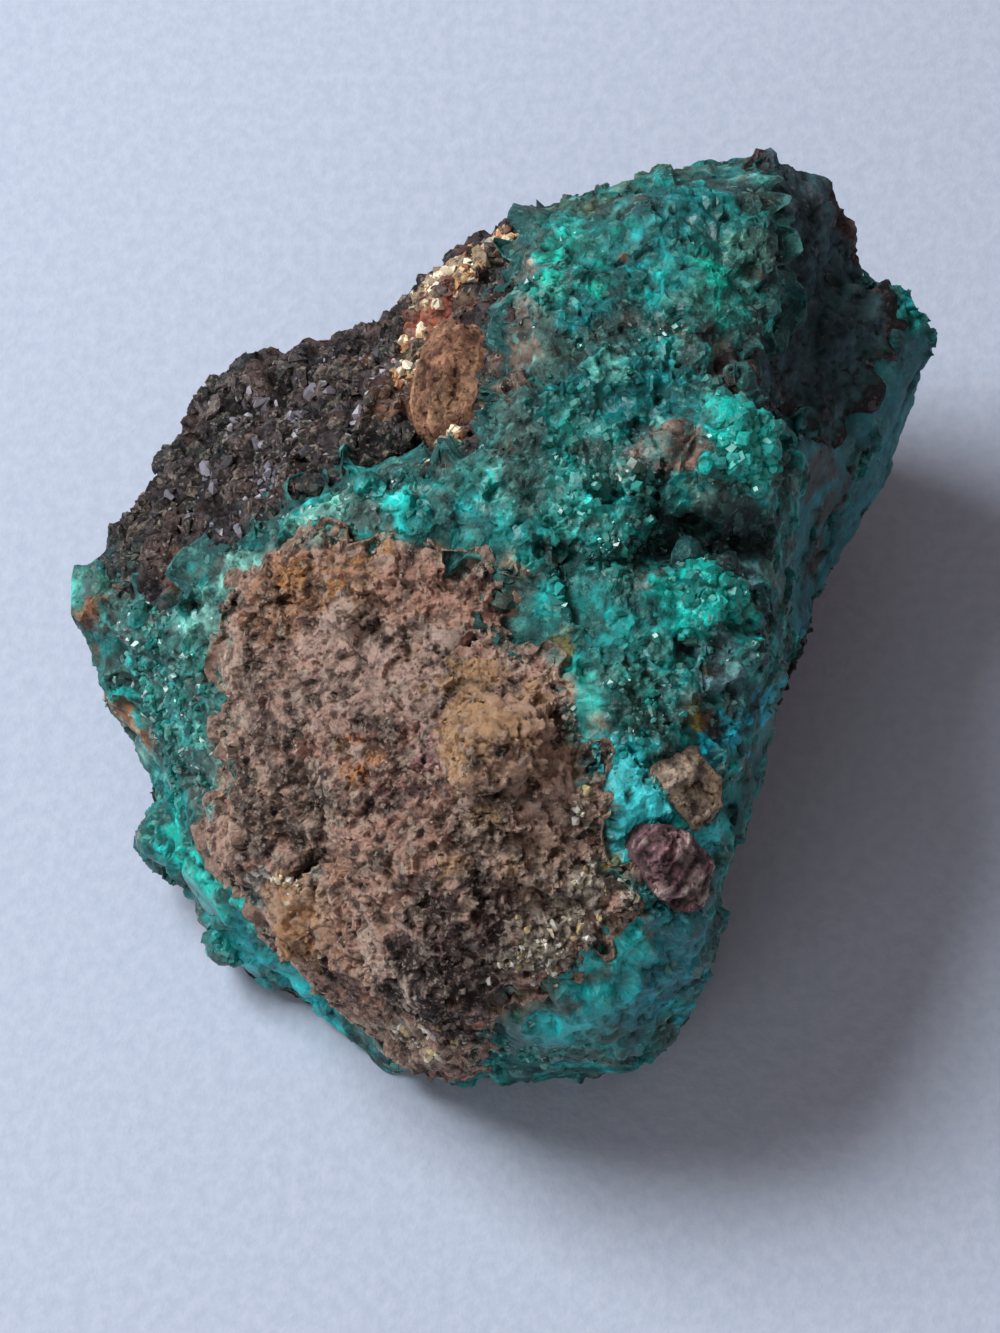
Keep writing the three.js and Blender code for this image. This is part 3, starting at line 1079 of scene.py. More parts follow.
        # The dip layer marks the hollows that the materials darken with painted shade and dirt.
        surface.write(tone=self.tone, dip=self._dip(surface, heights), **layers)
        self._thin(piece, hidden)
        self._shade(piece.data)
        piece.data.materials.clear()
        piece.data.materials.append(self.finish.material())
        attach(piece, "root")
        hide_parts(self.node)
        log.info("%s: %d polygons", piece.name, len(piece.data.polygons))

    def _heights(
        self, surface: Surface, ways: np.ndarray, relief: np.ndarray, hidden: np.ndarray, calm: np.ndarray
    ) -> np.ndarray:
        """Works out how far each point goes out, within the CAD model's box.

        Args:
            surface: The piece's surface.
            ways: The way that it faces at each point.
            relief: The heights of the points in sight.
            hidden: How far each point is out of sight.
            calm: How calm each point in sight is.

        Returns:
            Heights in millimetres.
        """
        points = surface.points[self.seen]
        swell = self.swell * SHARED.fractal(points + 70.0, self.SWELL_WIDTH, 3) * (1.0 - 0.5 * calm)
        height = np.clip(relief + swell, self.DEEPEST, self.HIGHEST)
        ease = 1.0 - self.HIDDEN_EASE * hidden[self.seen]
        heights = np.zeros(len(surface.points))
        heights[self.seen] = height * ease * smooth_step(points[:, 2], *self.FOOT)
        low, high = cad_limits()
        room = np.where(ways > 0.0, high - surface.points, surface.points - low)
        room = (room / np.maximum(np.abs(ways), 1e-3)).min(axis=1)
        return np.minimum(heights, self.ROOM_SHARE * np.maximum(room, 0.0))

    def _drop(self, surface: Surface, hidden: np.ndarray) -> np.ndarray:
        """Works out how far the edge dips where it meets the neighbours, most where they lap over it.

        Args:
            surface: The piece's surface.
            hidden: How far each point is out of sight.

        Returns:
            Lengths in millimetres.
        """
        under = np.clip(-self._wander(surface.points), 0.0, 1.0)
        return self.sink * (1.0 + 1.2 * under) * self.near * (1.0 - hidden)

    def _dip(self, surface: Surface, heights: np.ndarray) -> np.ndarray:
        """Works out how hollow the surface is, for the dirt and the shade that the materials paint into its
        hollows.

        Args:
            surface: The piece's surface, which has been pushed out.
            heights: How far each point went.

        Returns:
            A value for each point, from 0 on a crest over 0.5 on the flat to 1 in a hollow.
        """
        bend = np.einsum("ij,ij->i", surface.relaxed(surface.points, 4) - surface.points, self.normals)
        hollow = bend / self.voxel + 0.35 * (surface.relaxed(heights, 16) - heights)
        return np.clip(0.5 + hollow * (1.0 - 0.8 * self.near), 0.0, 1.0)

    def _grid(self) -> bpy.types.Object:
        """Copies the CAD solid and gives the copy an even, fine grid.

        Returns:
            The copy.
        """
        piece = bpy.data.objects.new(f"{self.node}_surface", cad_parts[self.node].data.copy())
        bpy.context.scene.collection.objects.link(piece)
        remesh = piece.modifiers.new("grid", "REMESH")
        remesh.mode = "VOXEL"
        remesh.voxel_size = self.voxel * MM * 1.0
        self._apply(piece)
        return piece

    def _apply(self, piece: bpy.types.Object) -> None:
        """Applies a piece's modifiers.

        Args:
            piece: The piece, which is changed.
        """
        graph = bpy.context.evaluated_depsgraph_get()
        mesh = bpy.data.meshes.new_from_object(piece.evaluated_get(graph))
        piece.modifiers.clear()
        piece.data = mesh

    def _thin(self, piece: bpy.types.Object, hidden: np.ndarray) -> None:
        """Leaves fewer triangles where the piece lies against its neighbours.

        Args:
            piece: The piece, which is changed.
            hidden: How far each point is out of sight.
        """
        group = piece.vertex_groups.new(name="hidden")
        group.add(np.flatnonzero(hidden > 0.9).tolist(), 1.0, "REPLACE")
        thin = piece.modifiers.new("thin", "DECIMATE")
        thin.ratio = self.THIN_SHARE
        thin.vertex_group = group.name
        self._apply(piece)
        triangles = sum(len(polygon.vertices) - 2 for polygon in piece.data.polygons)
        wear = piece.modifiers.new("wear", "DECIMATE")
        wear.ratio = min(self.facet, self.MOST_TRIANGLES / triangles)
        self._apply(piece)

    def _shade(self, mesh: bpy.types.Mesh) -> None:
        """Leaves sharp facets where the piece is granular, and smooths its calm parts.

        Args:
            mesh: The piece's mesh, which is changed.
        """
        calm = np.empty(len(mesh.vertices), np.float32)
        mesh.attributes["calm"].data.foreach_get("value", calm)
        starts = np.empty(len(mesh.polygons), np.int32)
        mesh.polygons.foreach_get("loop_start", starts)
        corners = np.empty(len(mesh.loops), np.int32)
        mesh.loops.foreach_get("vertex_index", corners)
        mesh.polygons.foreach_set("use_smooth", calm[corners[starts]] > 0.5)
        mesh.update()

    def _overlap(self, points: np.ndarray) -> np.ndarray:
        """Works out how far the piece's edge laps over its neighbours.

        Args:
            points: Rows of x, y and z.

        Returns:
            Lengths in millimetres.
        """
        return self.lap * (0.3 + 1.9 * np.clip(self._wander(points), -0.15, 1.0))

    def _wander(self, points: np.ndarray) -> np.ndarray:
        """Works out whether the piece laps over its neighbours or they lap over it.

        Args:
            points: Rows of x, y and z.

        Returns:
            Values over 0 where it laps over them and under 0 where they lap over it.
        """
        return 3.6 * self.side * SHARED.fractal(points + 25.0, self.WANDER_WIDTH, 4)

    def _settle(self, surface: Surface, others: Skin, near: np.ndarray) -> None:
        """Lays the edge down on the neighbours, where its lap leaves it in the air over them.

        Args:
            surface: The piece's surface, which is changed.
            others: The other pieces' surface.
            near: How near each point that is in sight is to a neighbour.
        """
        edge = np.flatnonzero(near > 0.05)
        distance, away = others.nearest(surface.points[edge], self.AIR_REACH)
        away /= np.maximum(distance, 1e-6)[:, None]
        over = smooth_step(-np.einsum("ij,ij->i", surface.normals()[edge], away), 0.1, 0.6)
        drop = np.zeros_like(surface.points)
        drop[edge] = away * (np.clip(distance - self.AIR_LEFT, 0.0, 2.0) * over * near[edge])[:, None]
        surface.points += surface.relaxed(drop, self.SETTLE_ROUNDS)

    def _contact(
        self, surface: Surface, others: Skin, bare: Union[Skin, None]
    ) -> tuple[np.ndarray, np.ndarray, np.ndarray]:
        """Works out where the piece lies against its neighbours.

        Args:
            surface: The piece's surface.
            others: The other pieces' surface.
            bare: The surface of those that its edge doesn't lap over.

        Returns:
            How far each point is out of sight and how near it is to a neighbour, both from 0 to 1, and the
            way to the neighbour, as long as it is near.
        """
        distance, away = others.nearest(surface.points, self.SEAM_REACH)
        away /= np.maximum(distance, 1e-6)[:, None]
        facing = np.einsum("ij,ij->i", surface.normals(), away)
        near = smooth_step(distance, self.SEAM_REACH, 0.4)
        hidden = smooth_step(distance, 1.2, 0.6) * smooth_step(facing, 0.05, 0.5)
        lapped = near.copy()
        if bare is not None:
            edge = np.flatnonzero(near > 0.0)
            apart = bare.nearest(surface.points[edge], self.BARE_REACH)[0]
            lapped[edge] *= smooth_step(apart - distance[edge], 0.0, 0.6)
        return hidden, near, away * lapped[:, None]

    def _tone(
        self, points: np.ndarray, number: np.ndarray, free: np.ndarray, skin: Skin, noise: Noise
    ) -> np.ndarray:
        """Colours the points.

        Args:
            points: Rows of x, y and z.
            number: Each point's grain's number.
            free: How lively each point's surface is, up to 1.
            skin: The whole specimen's surface.
            noise: What the ground colours mix by.

        Returns:
            A linear red, green and blue for each point.
        """
        tone = np.tile(linear(self.ground[0]), (len(points), 1))
        for i, colour in enumerate(self.ground[1:], 1):
            share = smooth_step(noise.fractal(points + 50.0 * i, 3.6, 5), 0.0, 0.18)[:, None]
            tone = tone * (1.0 - share) + linear(colour) * share
        for last in (False, True):
            for patch in (patch for patch in self.patches if patch.last is last):
                share = patch.strength * patch.mask(points, skin, noise)[:, None]
                tone = tone * (1.0 - share) + linear(patch.colour) * share
            for stain in () if last else self.stains:
                tone = stain.paint(tone, points)
        grey = tone.mean(axis=1, keepdims=True)
        tone = np.maximum(grey + self.vivid * (tone - grey), 0.0)
        blotch = 3.0 * noise.fractal(points + 66.0, 3.2, 3)
        mottle = self.contrast * (blotch + 3.5 * noise.fractal(points + 33.0, 0.9, 3) + 1.6 * (number - 0.5))
        mottle += self.streak * noise.fractal(streaked(points, 3.0), 1.0, 3)
        tone = tone * FRESHNESS * np.exp(mottle * (0.3 + 0.7 * free))[:, None]
        return tone * np.minimum(1.0, self.LIGHTEST / np.maximum(tone.max(axis=1, keepdims=True), 1e-6))


def crust_relief(
    points: np.ndarray, noise: Noise, zones: dict[str, np.ndarray]
) -> tuple[np.ndarray, np.ndarray]:
    """The crust's heights: flat glassy fractures, sugary crystals between them, smooth knobs and pits.

    Args:
        points: Rows of x, y and z.
        noise: The fields that it is made of.
        zones: How sugary, how glassy and how calm each point is, and how far it is on the ledge.

    Returns:
        Heights in millimetres, and each face's number from 0 to 1.
    """
    sugary, glassy = zones["sugary"], zones["glassy"]
    rough = smooth_step(noise.fractal(points + 5.0, 5.0, 3), -0.1, 0.3) * (1.0 - 0.8 * glassy)
    broad, number = noise.plates(points, 5.0)
    faces, small = noise.plates(points + 40.0, 1.9)
    crumbs, _ = noise.plates(points + 60.0, 0.9)
    druse, _ = noise.facets(points + 80.0, 1.4)
    pits = smooth_step(noise.fractal(points + 9.0, 3.2, 2), 0.36, 0.5)
    broken = 1.5 * broad + (0.3 + 0.7 * rough) * (0.9 * faces + 0.6 * crumbs) + 0.5 * sugary * druse
    knobs = 1.6 * noise.facets(points + 10.0, 2.6)[0] + 0.5 * noise.facets(points, 1.2)[0]
    height = broken * (1.0 - 0.75 * glassy) + knobs * glassy - 0.7 * pits * (1.0 - glassy)
    return height * (1.0 - 0.65 * zones["calm"]) + 0.9 * zones["ledge"], 0.5 * (number + small)


def slab_relief(
    points: np.ndarray, noise: Noise, zones: dict[str, np.ndarray]
) -> tuple[np.ndarray, np.ndarray]:
    """The brown slab's heights: ragged lumps, broken faces, crumbs and pores.

    Args:
        points: Rows of x, y and z.
        noise: The fields that it is made of.
        zones: How far each point is in the crack.

    Returns:
        Heights in millimetres, and each face's number from 0 to 1.
    """
    rough = smooth_step(noise.fractal(points + 5.0, 4.5, 3), -0.2, 0.2)
    broad, number = noise.plates(points, 4.2)
    faces, small = noise.plates(points + 40.0, 1.7)
    crumbs, _ = noise.plates(points + 60.0, 0.75)
    grit = 0.5 * noise.facets(points + 20.0, 0.8)[0] + 0.4 * noise.fractal(streaked(points, 3.0), 1.3, 2)
    pores = smooth_step(noise.fractal(points + 70.0, 1.5, 2), 0.34, 0.5)
    height = 1.7 * broad + 1.0 * faces + (0.3 + 0.6 * rough) * (0.8 * crumbs + grit) - 0.5 * pores
    return height * (1.0 - zones["crack"]), 0.5 * (number + small)


def host_relief(
    points: np.ndarray, noise: Noise, zones: dict[str, np.ndarray]
) -> tuple[np.ndarray, np.ndarray]:
    """The host rock's heights: angular grains with dark hollows between them.

    Args:
        points: Rows of x, y and z.
        noise: The fields that it is made of.
        zones: How calm each point is, and how far it is tucked in behind the crust's ledge.

    Returns:
        Heights in millimetres, and each grain's number from 0 to 1.
    """
    blocks, number = noise.facets(points, 2.4)
    grains, small = noise.plates(points + 20.0, 1.2)
    vugs = smooth_step(noise.fractal(points + 60.0, 2.6, 2), 0.25, 0.42)
    fine, _ = noise.plates(points + 30.0, 0.9)
    calm = zones["calm"]
    coarse = 1.5 * blocks + 1.1 * grains + 0.3 * noise.fractal(points + 9.0, 0.9, 2) - 0.9 * vugs
    height = coarse * (1.0 - calm) + calm * (0.5 * grains + 0.5 * fine)
    return height - 3.0 * zones["tucked"], 0.5 * (number + small)


def chip_relief(
    points: np.ndarray, noise: Noise, zones: dict[str, np.ndarray]
) -> tuple[np.ndarray, np.ndarray]:
    """A rock chip's heights: worn, with fine pits.

    Args:
        points: Rows of x, y and z.
        noise: The fields that it is made of.
        zones: Unused here.

    Returns:
        Heights in millimetres, and each grain's number from 0 to 1.
    """
    swell = 0.6 * noise.fractal(points, 2.5, 4)
    faces, number = noise.plates(points, 1.1)
    pores = smooth_step(noise.fractal(points + 70.0, 1.0, 2), 0.25, 0.4)
    return swell + 0.4 * faces - 0.25 * pores, number


def striated_relief(
    points: np.ndarray, noise: Noise, zones: dict[str, np.ndarray]
) -> tuple[np.ndarray, np.ndarray]:
    """The purple chip's heights: blocky, with streaks that run up to the right.

    Args:
        points: Rows of x, y and z.
        noise: The fields that it is made of.
        zones: Unused here.

    Returns:
        Heights in millimetres, and each streak's number from 0 to 1.
    """
    streaks = noise.fractal(streaked(points, 6.0), 0.7, 2)
    blocks, _ = noise.plates(points, 2.6)
    faces, _ = noise.plates(points + 20.0, 1.0)
    return 0.35 * streaks + 0.6 * blocks + 0.25 * faces, 0.5 + 3.6 * streaks


SUGARY = Patch(
    spots=(
        (6, 10, 5), (8.2, 6.7, 3), (6, 15.6, 3), (19, 13.6, 4), (16.4, 2, 4), (10.6, -6, 3.4),
        (3, -33.5, 3), (-8, 9, 2.5), (-14, 8, 3), (-27, -2, 5), (-25, -9, 5), (13, 22.6, 2.5), (4, 26, 3),
        (9, -18.6, 2),
    ),
)
GLASSY = Patch(
    spots=(
        (9.6, -30, 7), (13, -25, 5), (14, -20, 2), (21, -7, 3), (-23, -23, 4), (-27, -17, 3),
        (10.6, -13.6, 2.4), (-18, -27, 3), (9, 18, 3), (-22.5, -26.5, 3), (16, 31, 3), (-33, 3, 2.5),
        (-8, 9, 1.2),
    ),
)
FLANK = Patch(((27, 15, 6), (30, 19, 5), (31, 12, 5), (33, 19, 4), (25, 8, 5), (24, 2, 4), (28, 6, 5)))
LEDGE = ((-27.5, -18.6, 3), (-25, -23.4, 3), (-21, -27.4, 3), (-17, -30, 3), (-13, -32, 2.4))
RIGHT_EDGE = (
    (23, -4, 3), (21, -10, 3), (19.4, -15, 3), (18.4, -20, 3.4), (17.4, -26, 3.6), (16, -31, 4), (10, -36, 3),
)

CRUST = Mineral(
    node="dioptase_crust",
    slot="dioptase",
    finish=DioptaseFinish("dioptase", shade=(8, 34, 36), glow=(120, 200, 188)),
    voxel=0.26,
    ground=((30, 92, 90), (18, 66, 64), (52, 112, 108), (66, 84, 80)),
    patches=(
        Patch(((12, 30, 7), (12, 20, 5), (16, 34, 5)), (18, 66, 66), 0.45),
        Patch(((8, -2, 5), (8, -8, 4), (6, 8, 5), (14, -3, 4), (0, 12, 3)), (48, 136, 130), 0.4),
        Patch(((14, 32, 4), (9, 30, 3), (16, 26, 4)), (30, 92, 92), 0.5),
        Patch(((6.6, 30.2, 2.8), (19, 24.6, 3), (21, 22, 1.6)), (44, 118, 108)),
        Patch(((14, 32.8, 2.2), (7, 24.7, 2.2), (9.7, 28.4, 1.7), (11.4, 29.6, 1.3)), (26, 112, 114), 0.75),
        Patch(((4.3, 26.1, 1.4), (3.9, 28.8, 1), (16.5, 27.8, 1.4), (7.6, 26.2, 0.9)), (64, 188, 168)),
        Patch(((19.8, 29.1, 1.6),), (110, 150, 136)),
        Patch(((15.8, 24, 2),), (60, 108, 98), 0.7),
        Patch(((10, 23.2, 1.1), (13, 22.6, 1), (16, 22, 1.2), (5, 21, 1.3)), (42, 48, 44), 0.85),
        Patch(((9, 17.5, 3.4), (13, 17, 3), (6.4, 18, 2)), (34, 96, 98), 0.75),
        Patch(((8.7, 19.7, 1.4), (12.4, 15.3, 0.5), (3, 21, 0.5)), (120, 178, 168)),
        Patch(((17.8, 20.7, 1.6), (20.5, 17.6, 2), (20, 20, 1.4)), (62, 58, 54), 0.85),
        Patch(((-0.6, 15, 2.2), (1.6, 12, 2.4), (2.6, 18, 1.2)), (66, 86, 82), 0.75),
        Patch(
            ((19.4, 13.6, 2.8), (17.4, 16.3, 1.3), (20.6, 15.6, 1.4), (20.8, 11.4, 1.4)),
            (76, 216, 204), 0.92,
        ),
        Patch(((8.3, 11.6, 1.4), (6, 15.6, 1.6), (8.2, 6.7, 2.2), (4.8, 9.6, 1.6)), (82, 138, 132), 0.7),
        Patch(((14.1, 13.3, 2), (11, 12.2, 1.3), (13, 14.4, 1.2)), (104, 82, 76), 0.92, last=True),
        # Painted shade: the hollow under the bright lump is coloured nearly black-green, and the knob in it
        # dark teal.
        Patch(
            ((14, 6.4, 3.8), (17.4, 7.2, 3), (12, 7.4, 2.2), (20.4, 6, 2.2), (17, 4.8, 2)),
            (3, 27, 28), 0.95,
        ),
        Patch(((14.6, 5.9, 1.5), (12, 9.4, 1.2), (18.6, 6, 1)), (6, 40, 40), 0.85, last=True),
        Patch(((6.4, 3.8, 2.6), (5, 0.8, 2.2), (9.4, -1.3, 2.6)), (26, 100, 98), 0.7),
        Patch(((16.4, 3, 2.1), (15.1, 0, 1.8), (18.2, 1.6, 1.5), (12.6, 2.2, 1.2)), (22, 182, 172), 0.92),
        Patch(((17.1, -4.2, 2.1), (19.2, 3.6, 1.6)), (118, 146, 152), 0.85),
        Patch(((20.6, -2.2, 1.4), (13.7, -2, 1.1)), (30, 32, 34), 0.95),
        Patch(((20.4, -6.7, 2.2), (16.6, -9.7, 1.4), (18.6, -8.6, 1.4)), (26, 176, 194), 0.92),
        Patch(((10.6, -6.7, 2.6), (12.6, -9, 1.8)), (36, 66, 60)),
        Patch(((7, -6.7, 0.8), (6.6, -4.4, 0.6), (9, -4, 0.6), (15.6, -1.2, 0.7)), (96, 176, 164), 0.85),
        Patch(((16.4, -8, 1.2),), (66, 36, 32), 0.9),
        Patch(((14.9, -7.4, 1), (8.7, -18.2, 1), (4.8, -2, 1.1)), (138, 120, 72), 0.85),
        Patch(
            ((10, -12.6, 2.8), (12.4, -15, 2), (15.6, -17.4, 1.8), (10.4, -17.4, 2)),
            (136, 242, 246), 0.92, 0.7, last=True,
        ),
        Patch(((8.2, -12.2, 1.1), (9.2, -20.4, 0.9), (7, -23, 1), (5, -26, 0.9)), (200, 204, 184), 0.85),
        Patch(
            ((13.6, -25, 3.4), (12, -30, 3.6), (15, -22, 1.6), (16, -28, 3)),
            (4, 108, 116), 0.92, last=True,
        ),
        # Painted light: the lower-right nodule's upper-left part is coloured a lighter turquoise than its
        # deep teal, and its upper-left edge pale turquoise, where the lamp lights it.
        Patch(((9.6, -25.4, 2.2), (7.6, -29.4, 3), (5, -31.4, 2.4)), (12, 152, 152), 0.9, last=True),
        Patch(((10, -22.6, 1.2), (6.6, -26.4, 1.4)), (110, 196, 196)),
        Patch(((2, -33.6, 2.4), (0.4, -31, 1.4)), (24, 70, 62), 0.85),
        Patch(
            ((-12.6, 8.8, 2), (-15.6, 7.4, 1.4), (-19, 4.6, 2), (-21.6, 2.6, 2), (-23, 0, 2)),
            (120, 162, 150), 0.85,
        ),
        Patch(((-7.8, 9, 1),), (30, 196, 188), 0.95),
        Patch(((-3, 8.4, 2), (0.4, 8, 2)), (40, 92, 92), 0.6),
        Patch(((-15.2, 5.8, 1.2),), (150, 104, 64), 0.9),
        Patch(((-30.4, -1, 2.6), (-28.4, -4.6, 2.4), (-25, -3, 2.6), (-24, -8, 2.6)), (66, 106, 100), 0.7),
        Patch(((-29.6, -4.8, 1.8), (-23, -0.4, 1.4), (-27, -10, 2), (-24.6, -12, 1.6)), (18, 32, 30), 0.9),
        Patch(((-33.4, 3.4, 2),), (88, 140, 130)),
        Patch(
            ((-33.4, 0.2, 1.4), (-30.8, -7.4, 1.8), (-29, -9.8, 1.6)),
            (132, 90, 66), 0.9, last=True,
        ),
        Patch(
            ((-25.8, -17.4, 2.6), (-22.6, -20.8, 2.6), (-20, -23.6, 2.2)),
            (26, 156, 144), 0.88, last=True,
        ),
        Patch(
            ((-19.6, -26.2, 2.8), (-16, -28.6, 2.4), (-13.6, -31, 2)),
            (34, 154, 156), 0.9, last=True,
        ),
        Patch(
            ((-20.8, 2.8, 2.2), (-17.6, 4.8, 1.6), (-23.4, 0.6, 1.6)),
            (116, 152, 144), 0.8, 0.9, last=True,
        ),
        Patch(((-23, -26.8, 2.4), (-21, -28.4, 2)), (26, 128, 126), 0.85, last=True),
        Patch(
            spots=(
                (-22.6, -16.6, 1.3), (-18.8, -22.6, 1.1), (-24.4, -20.6, 1), (-22, -24.4, 1),
                (-18.4, -28, 0.9), (-27.4, -15.4, 1),
            ),
            colour=(16, 62, 58), ragged=1.0, last=True,
        ),
        Patch(
            ((-24, -18.6, 0.9), (-20.8, -21.6, 0.8), (-25.6, -19.4, 0.7)),
            (96, 214, 198), 0.8, 1.0, last=True,
        ),
        Patch(((21.4, 33, 2.6), (21, 28, 2.4), (20.4, 23, 2)), (34, 52, 52), 0.75),
        Patch(
            ((1.5, 27, 1.9), (1.4, 23.6, 1.8), (1.2, 20.6, 1.8), (0, 17.4, 1.5)),
            (112, 98, 90), 0.85, last=True,
        ),
        Patch(((7, 34.4, 1.8), (10.6, 35.2, 1.6), (14, 36, 1.6), (4.4, 32.8, 1.6)), (58, 62, 48), 0.75),
        Patch(((18.6, 18.8, 2), (20.4, 21.4, 1.4)), (58, 56, 52), 0.6, last=True),
        Patch(FLANK.spots, (58, 104, 110), 0.92, 0.5, last=True),
        Patch(((25.8, 12.4, 2.2), (26.6, 9, 2.4), (26.2, 5.6, 2)), (62, 56, 54), 0.9, last=True),
        Patch(((28.6, 21.6, 2.4), (32, 21, 2.2)), (44, 92, 92), 0.6, last=True),
        Patch(
            ((29.2, 17, 1.1), (31, 19.6, 1.2), (30, 13.4, 0.9), (24, 6, 1)),
            (84, 140, 138), 0.6, 1.1, last=True,
        ),
        Patch(((32.4, 26.2, 2),), (60, 150, 148), 0.92),
    ),
    relief=crust_relief,
    stains=(
        Stain("host_rock", ((34, 44, 46), (60, 60, 56)), reach=2.6, side=1.0, strength=0.8),
        Stain("brown_rock_slab", ((130, 106, 90), (92, 92, 82)), reach=1.8, side=1.0, strength=0.8),
    ),
    zones={
        "sugary": SUGARY,
        "glassy": GLASSY,
        "gloss": Patch(SUGARY.spots + GLASSY.spots),
        "calm": Patch(FLANK.spots + RIGHT_EDGE),
        "ledge": Patch(LEDGE, ragged=0.2),
    },
    contrast=0.56,
    vivid=1.4,
    lap=1.1,
    sink=0.4,
    side=1.0,
    seed=11,
)

CRACK = Patch(
    ((-17.8, -20.8, 0.8), (-16.4, -19.8, 0.9), (-15, -18.9, 0.9), (-13.6, -18, 0.8), (0, -10.2, 0.6))
)

SLAB = Mineral(
    node="brown_rock_slab",
    slot="brown_rock",
    finish=RockFinish(
        "brown_rock", grain=0.7, shade=(56, 38, 33), glow=(250, 228, 208), roughness=0.85,
        depth=0.5, dirt_and_shade=0.35, pores=0.55, sparkle=0.75,
    ),
    voxel=0.2,
    ground=((190, 154, 136), (140, 106, 94), (216, 186, 168)),
    patches=(
        Patch(((-16.2, 2.4, 3.4), (-11.5, 3.5, 2.4), (-18, 0, 2.4)), (140, 102, 76), 0.85),
        Patch(((-16, 3.4, 1.5), (-10, 5.4, 1.4), (-13, 2.4, 1.1)), (176, 124, 76), 0.85),
        # Painted shadow: a dark brown line near the slab's top edge.
        Patch(((-13.6, 6, 1), (-10, 5.8, 0.8), (-6.4, 2.4, 0.8), (-14, 0.4, 0.8)), (50, 36, 30), 0.85),
        Patch(((-3, 0.6, 3), (-5.6, 2.4, 2.4), (0, 1.4, 2), (-8, 1.4, 2.2)), (196, 150, 130), 0.85),
        Patch(((-4.4, -2, 1.3), (-2.2, -1, 1.1), (-6.2, -0.6, 0.8)), (236, 206, 190), 0.85),
        Patch(((-17, -4.6, 3.4), (-18.6, -9, 3)), (116, 94, 86), 0.85),
        Patch(
            ((-9.6, -4.8, 3.8), (-12.4, -6.4, 3.2), (-7.2, -6.4, 2.8), (-14, -2.6, 2.4)),
            (206, 172, 158), 0.85,
        ),
        Patch(
            ((-1.6, -7.2, 3), (0, -10, 2.8), (-2.8, -10, 2.2), (-2.4, -4.8, 1.8)),
            (255, 202, 154), 0.95, 1.1,
        ),
        Patch(((1.4, -6.8, 1.6), (2.6, -9.4, 1.6), (-0.6, -12, 1.4)), (255, 206, 172), 0.9),
        # Painted light: the tan lump's right side, which turns from the lamp, is coloured lighter.
        Patch(((5.6, -8.4, 1.8), (6.8, -11.4, 1.8), (4.2, -4.8, 1.4)), (188, 152, 134), 0.85),
        Patch(((3.4, -7.4, 1.8), (4, -10.4, 2), (1, -12.6, 2)), (240, 194, 166), 0.85),
        Patch(
            ((-8.4, -11.2, 2.4), (-6.8, -13.6, 2.4), (-10, -9.2, 1.6), (-4.4, -13, 1.4)),
            (86, 54, 48), 0.85,
        ),
        Patch(((-7.2, -14.4, 1.6), (-5.2, -10.6, 1.2)), (84, 54, 60), 0.85),
        Patch(((-9.6, -10.4, 0.9), (-11.2, -12, 1), (-12.4, -9.6, 0.8)), (166, 108, 62), 0.85),
        Patch(((-18, -14.4, 3.6), (-16, -12.8, 2.8), (-20, -13.6, 2)), (84, 68, 60), 0.9),
        Patch(
            ((-8, -18.4, 3.8), (-10.4, -20, 3.2), (-5.6, -16.8, 2.8), (-12, -22.4, 3.2)),
            (186, 146, 128), 0.85,
        ),
        Patch(((1.6, -17.6, 4), (4.8, -16, 3), (3.2, -20.8, 3), (0.6, -13.8, 2)), (186, 156, 138), 0.85),
        Patch(((-1.4, -15, 1.2), (-3.6, -19, 1), (1, -19.4, 0.9)), (190, 154, 116)),
        # Partly painted shade: the slab's lower front is grey-brown of its own and is coloured darker still
        # for the shade that falls on it.
        Patch(
            ((-5.6, -27.2, 3.8), (-1.6, -25.6, 3.4), (-8, -29.6, 2.8), (-3.2, -29.6, 3.4)),
            (44, 39, 39), 0.92,
        ),
        Patch(((-4, -22.4, 2.8), (-1, -20.4, 2.2), (0.4, -23, 2)), (88, 70, 66), 0.8, 1.1),
        Patch(((-13.6, -24.8, 2.4), (-12.6, -19.4, 1.6)), (226, 178, 150), 0.85),
        Patch(
            ((-16.6, -23.8, 3.4), (-15, -22, 2.2), (-15.8, -26.8, 2.2)),
            (255, 208, 172), 1.0, 0.6, last=True,
        ),
        Patch(
            ((-17, -25, 1.3), (-16, -22.4, 1), (-15.2, -25.4, 0.8)),
            (255, 188, 132), 0.7, 1.0, last=True,
        ),
        Patch(
            ((5.6, -22.4, 2.2), (7.2, -20, 1.8), (3.2, -25.6, 2.2), (8, -18.4, 1.3)),
            (184, 176, 160), 0.85,
        ),
        Patch(((-6.4, -33.6, 3.2), (-8.8, -32.8, 2)), (116, 106, 98), 0.85),
        Patch(((-8.8, -33.6, 1), (-3.6, -29.6, 0.8), (-9.4, -31, 0.8)), (176, 138, 116), 0.75),
        Patch(((-18.4, -20.2, 1.2), (-16.6, -21, 1), (-14.6, -19.8, 0.8)), (206, 206, 198)),
        # Painted shade: the crack is coloured nearly black.
        Patch(CRACK.spots, (14, 12, 11), 0.97, 0.4),
    ),
    relief=slab_relief,
    stains=(Stain("dioptase_crust", ((34, 98, 94), (70, 92, 82)), reach=2.0, side=-1.0),),
    zones={
        "crack": CRACK,
        # Partly painted light: these calm spots smooth the tan lump and the lower-left corner and take out
        # most of their dark mottling, which lightens them where they turn from the lamp.
        "calm": Patch(
            ((0, -7, 3), (3, -8, 2.4), (4.4, -11.6, 2), (1, -12, 2), (-16.4, -24, 2.8), (-4.4, -1.6, 1.6))
        ),
    },
    contrast=0.66,
    streak=2.0,
    lap=0.6,
    sink=0.4,
    facet=0.8,
    seed=23,
)

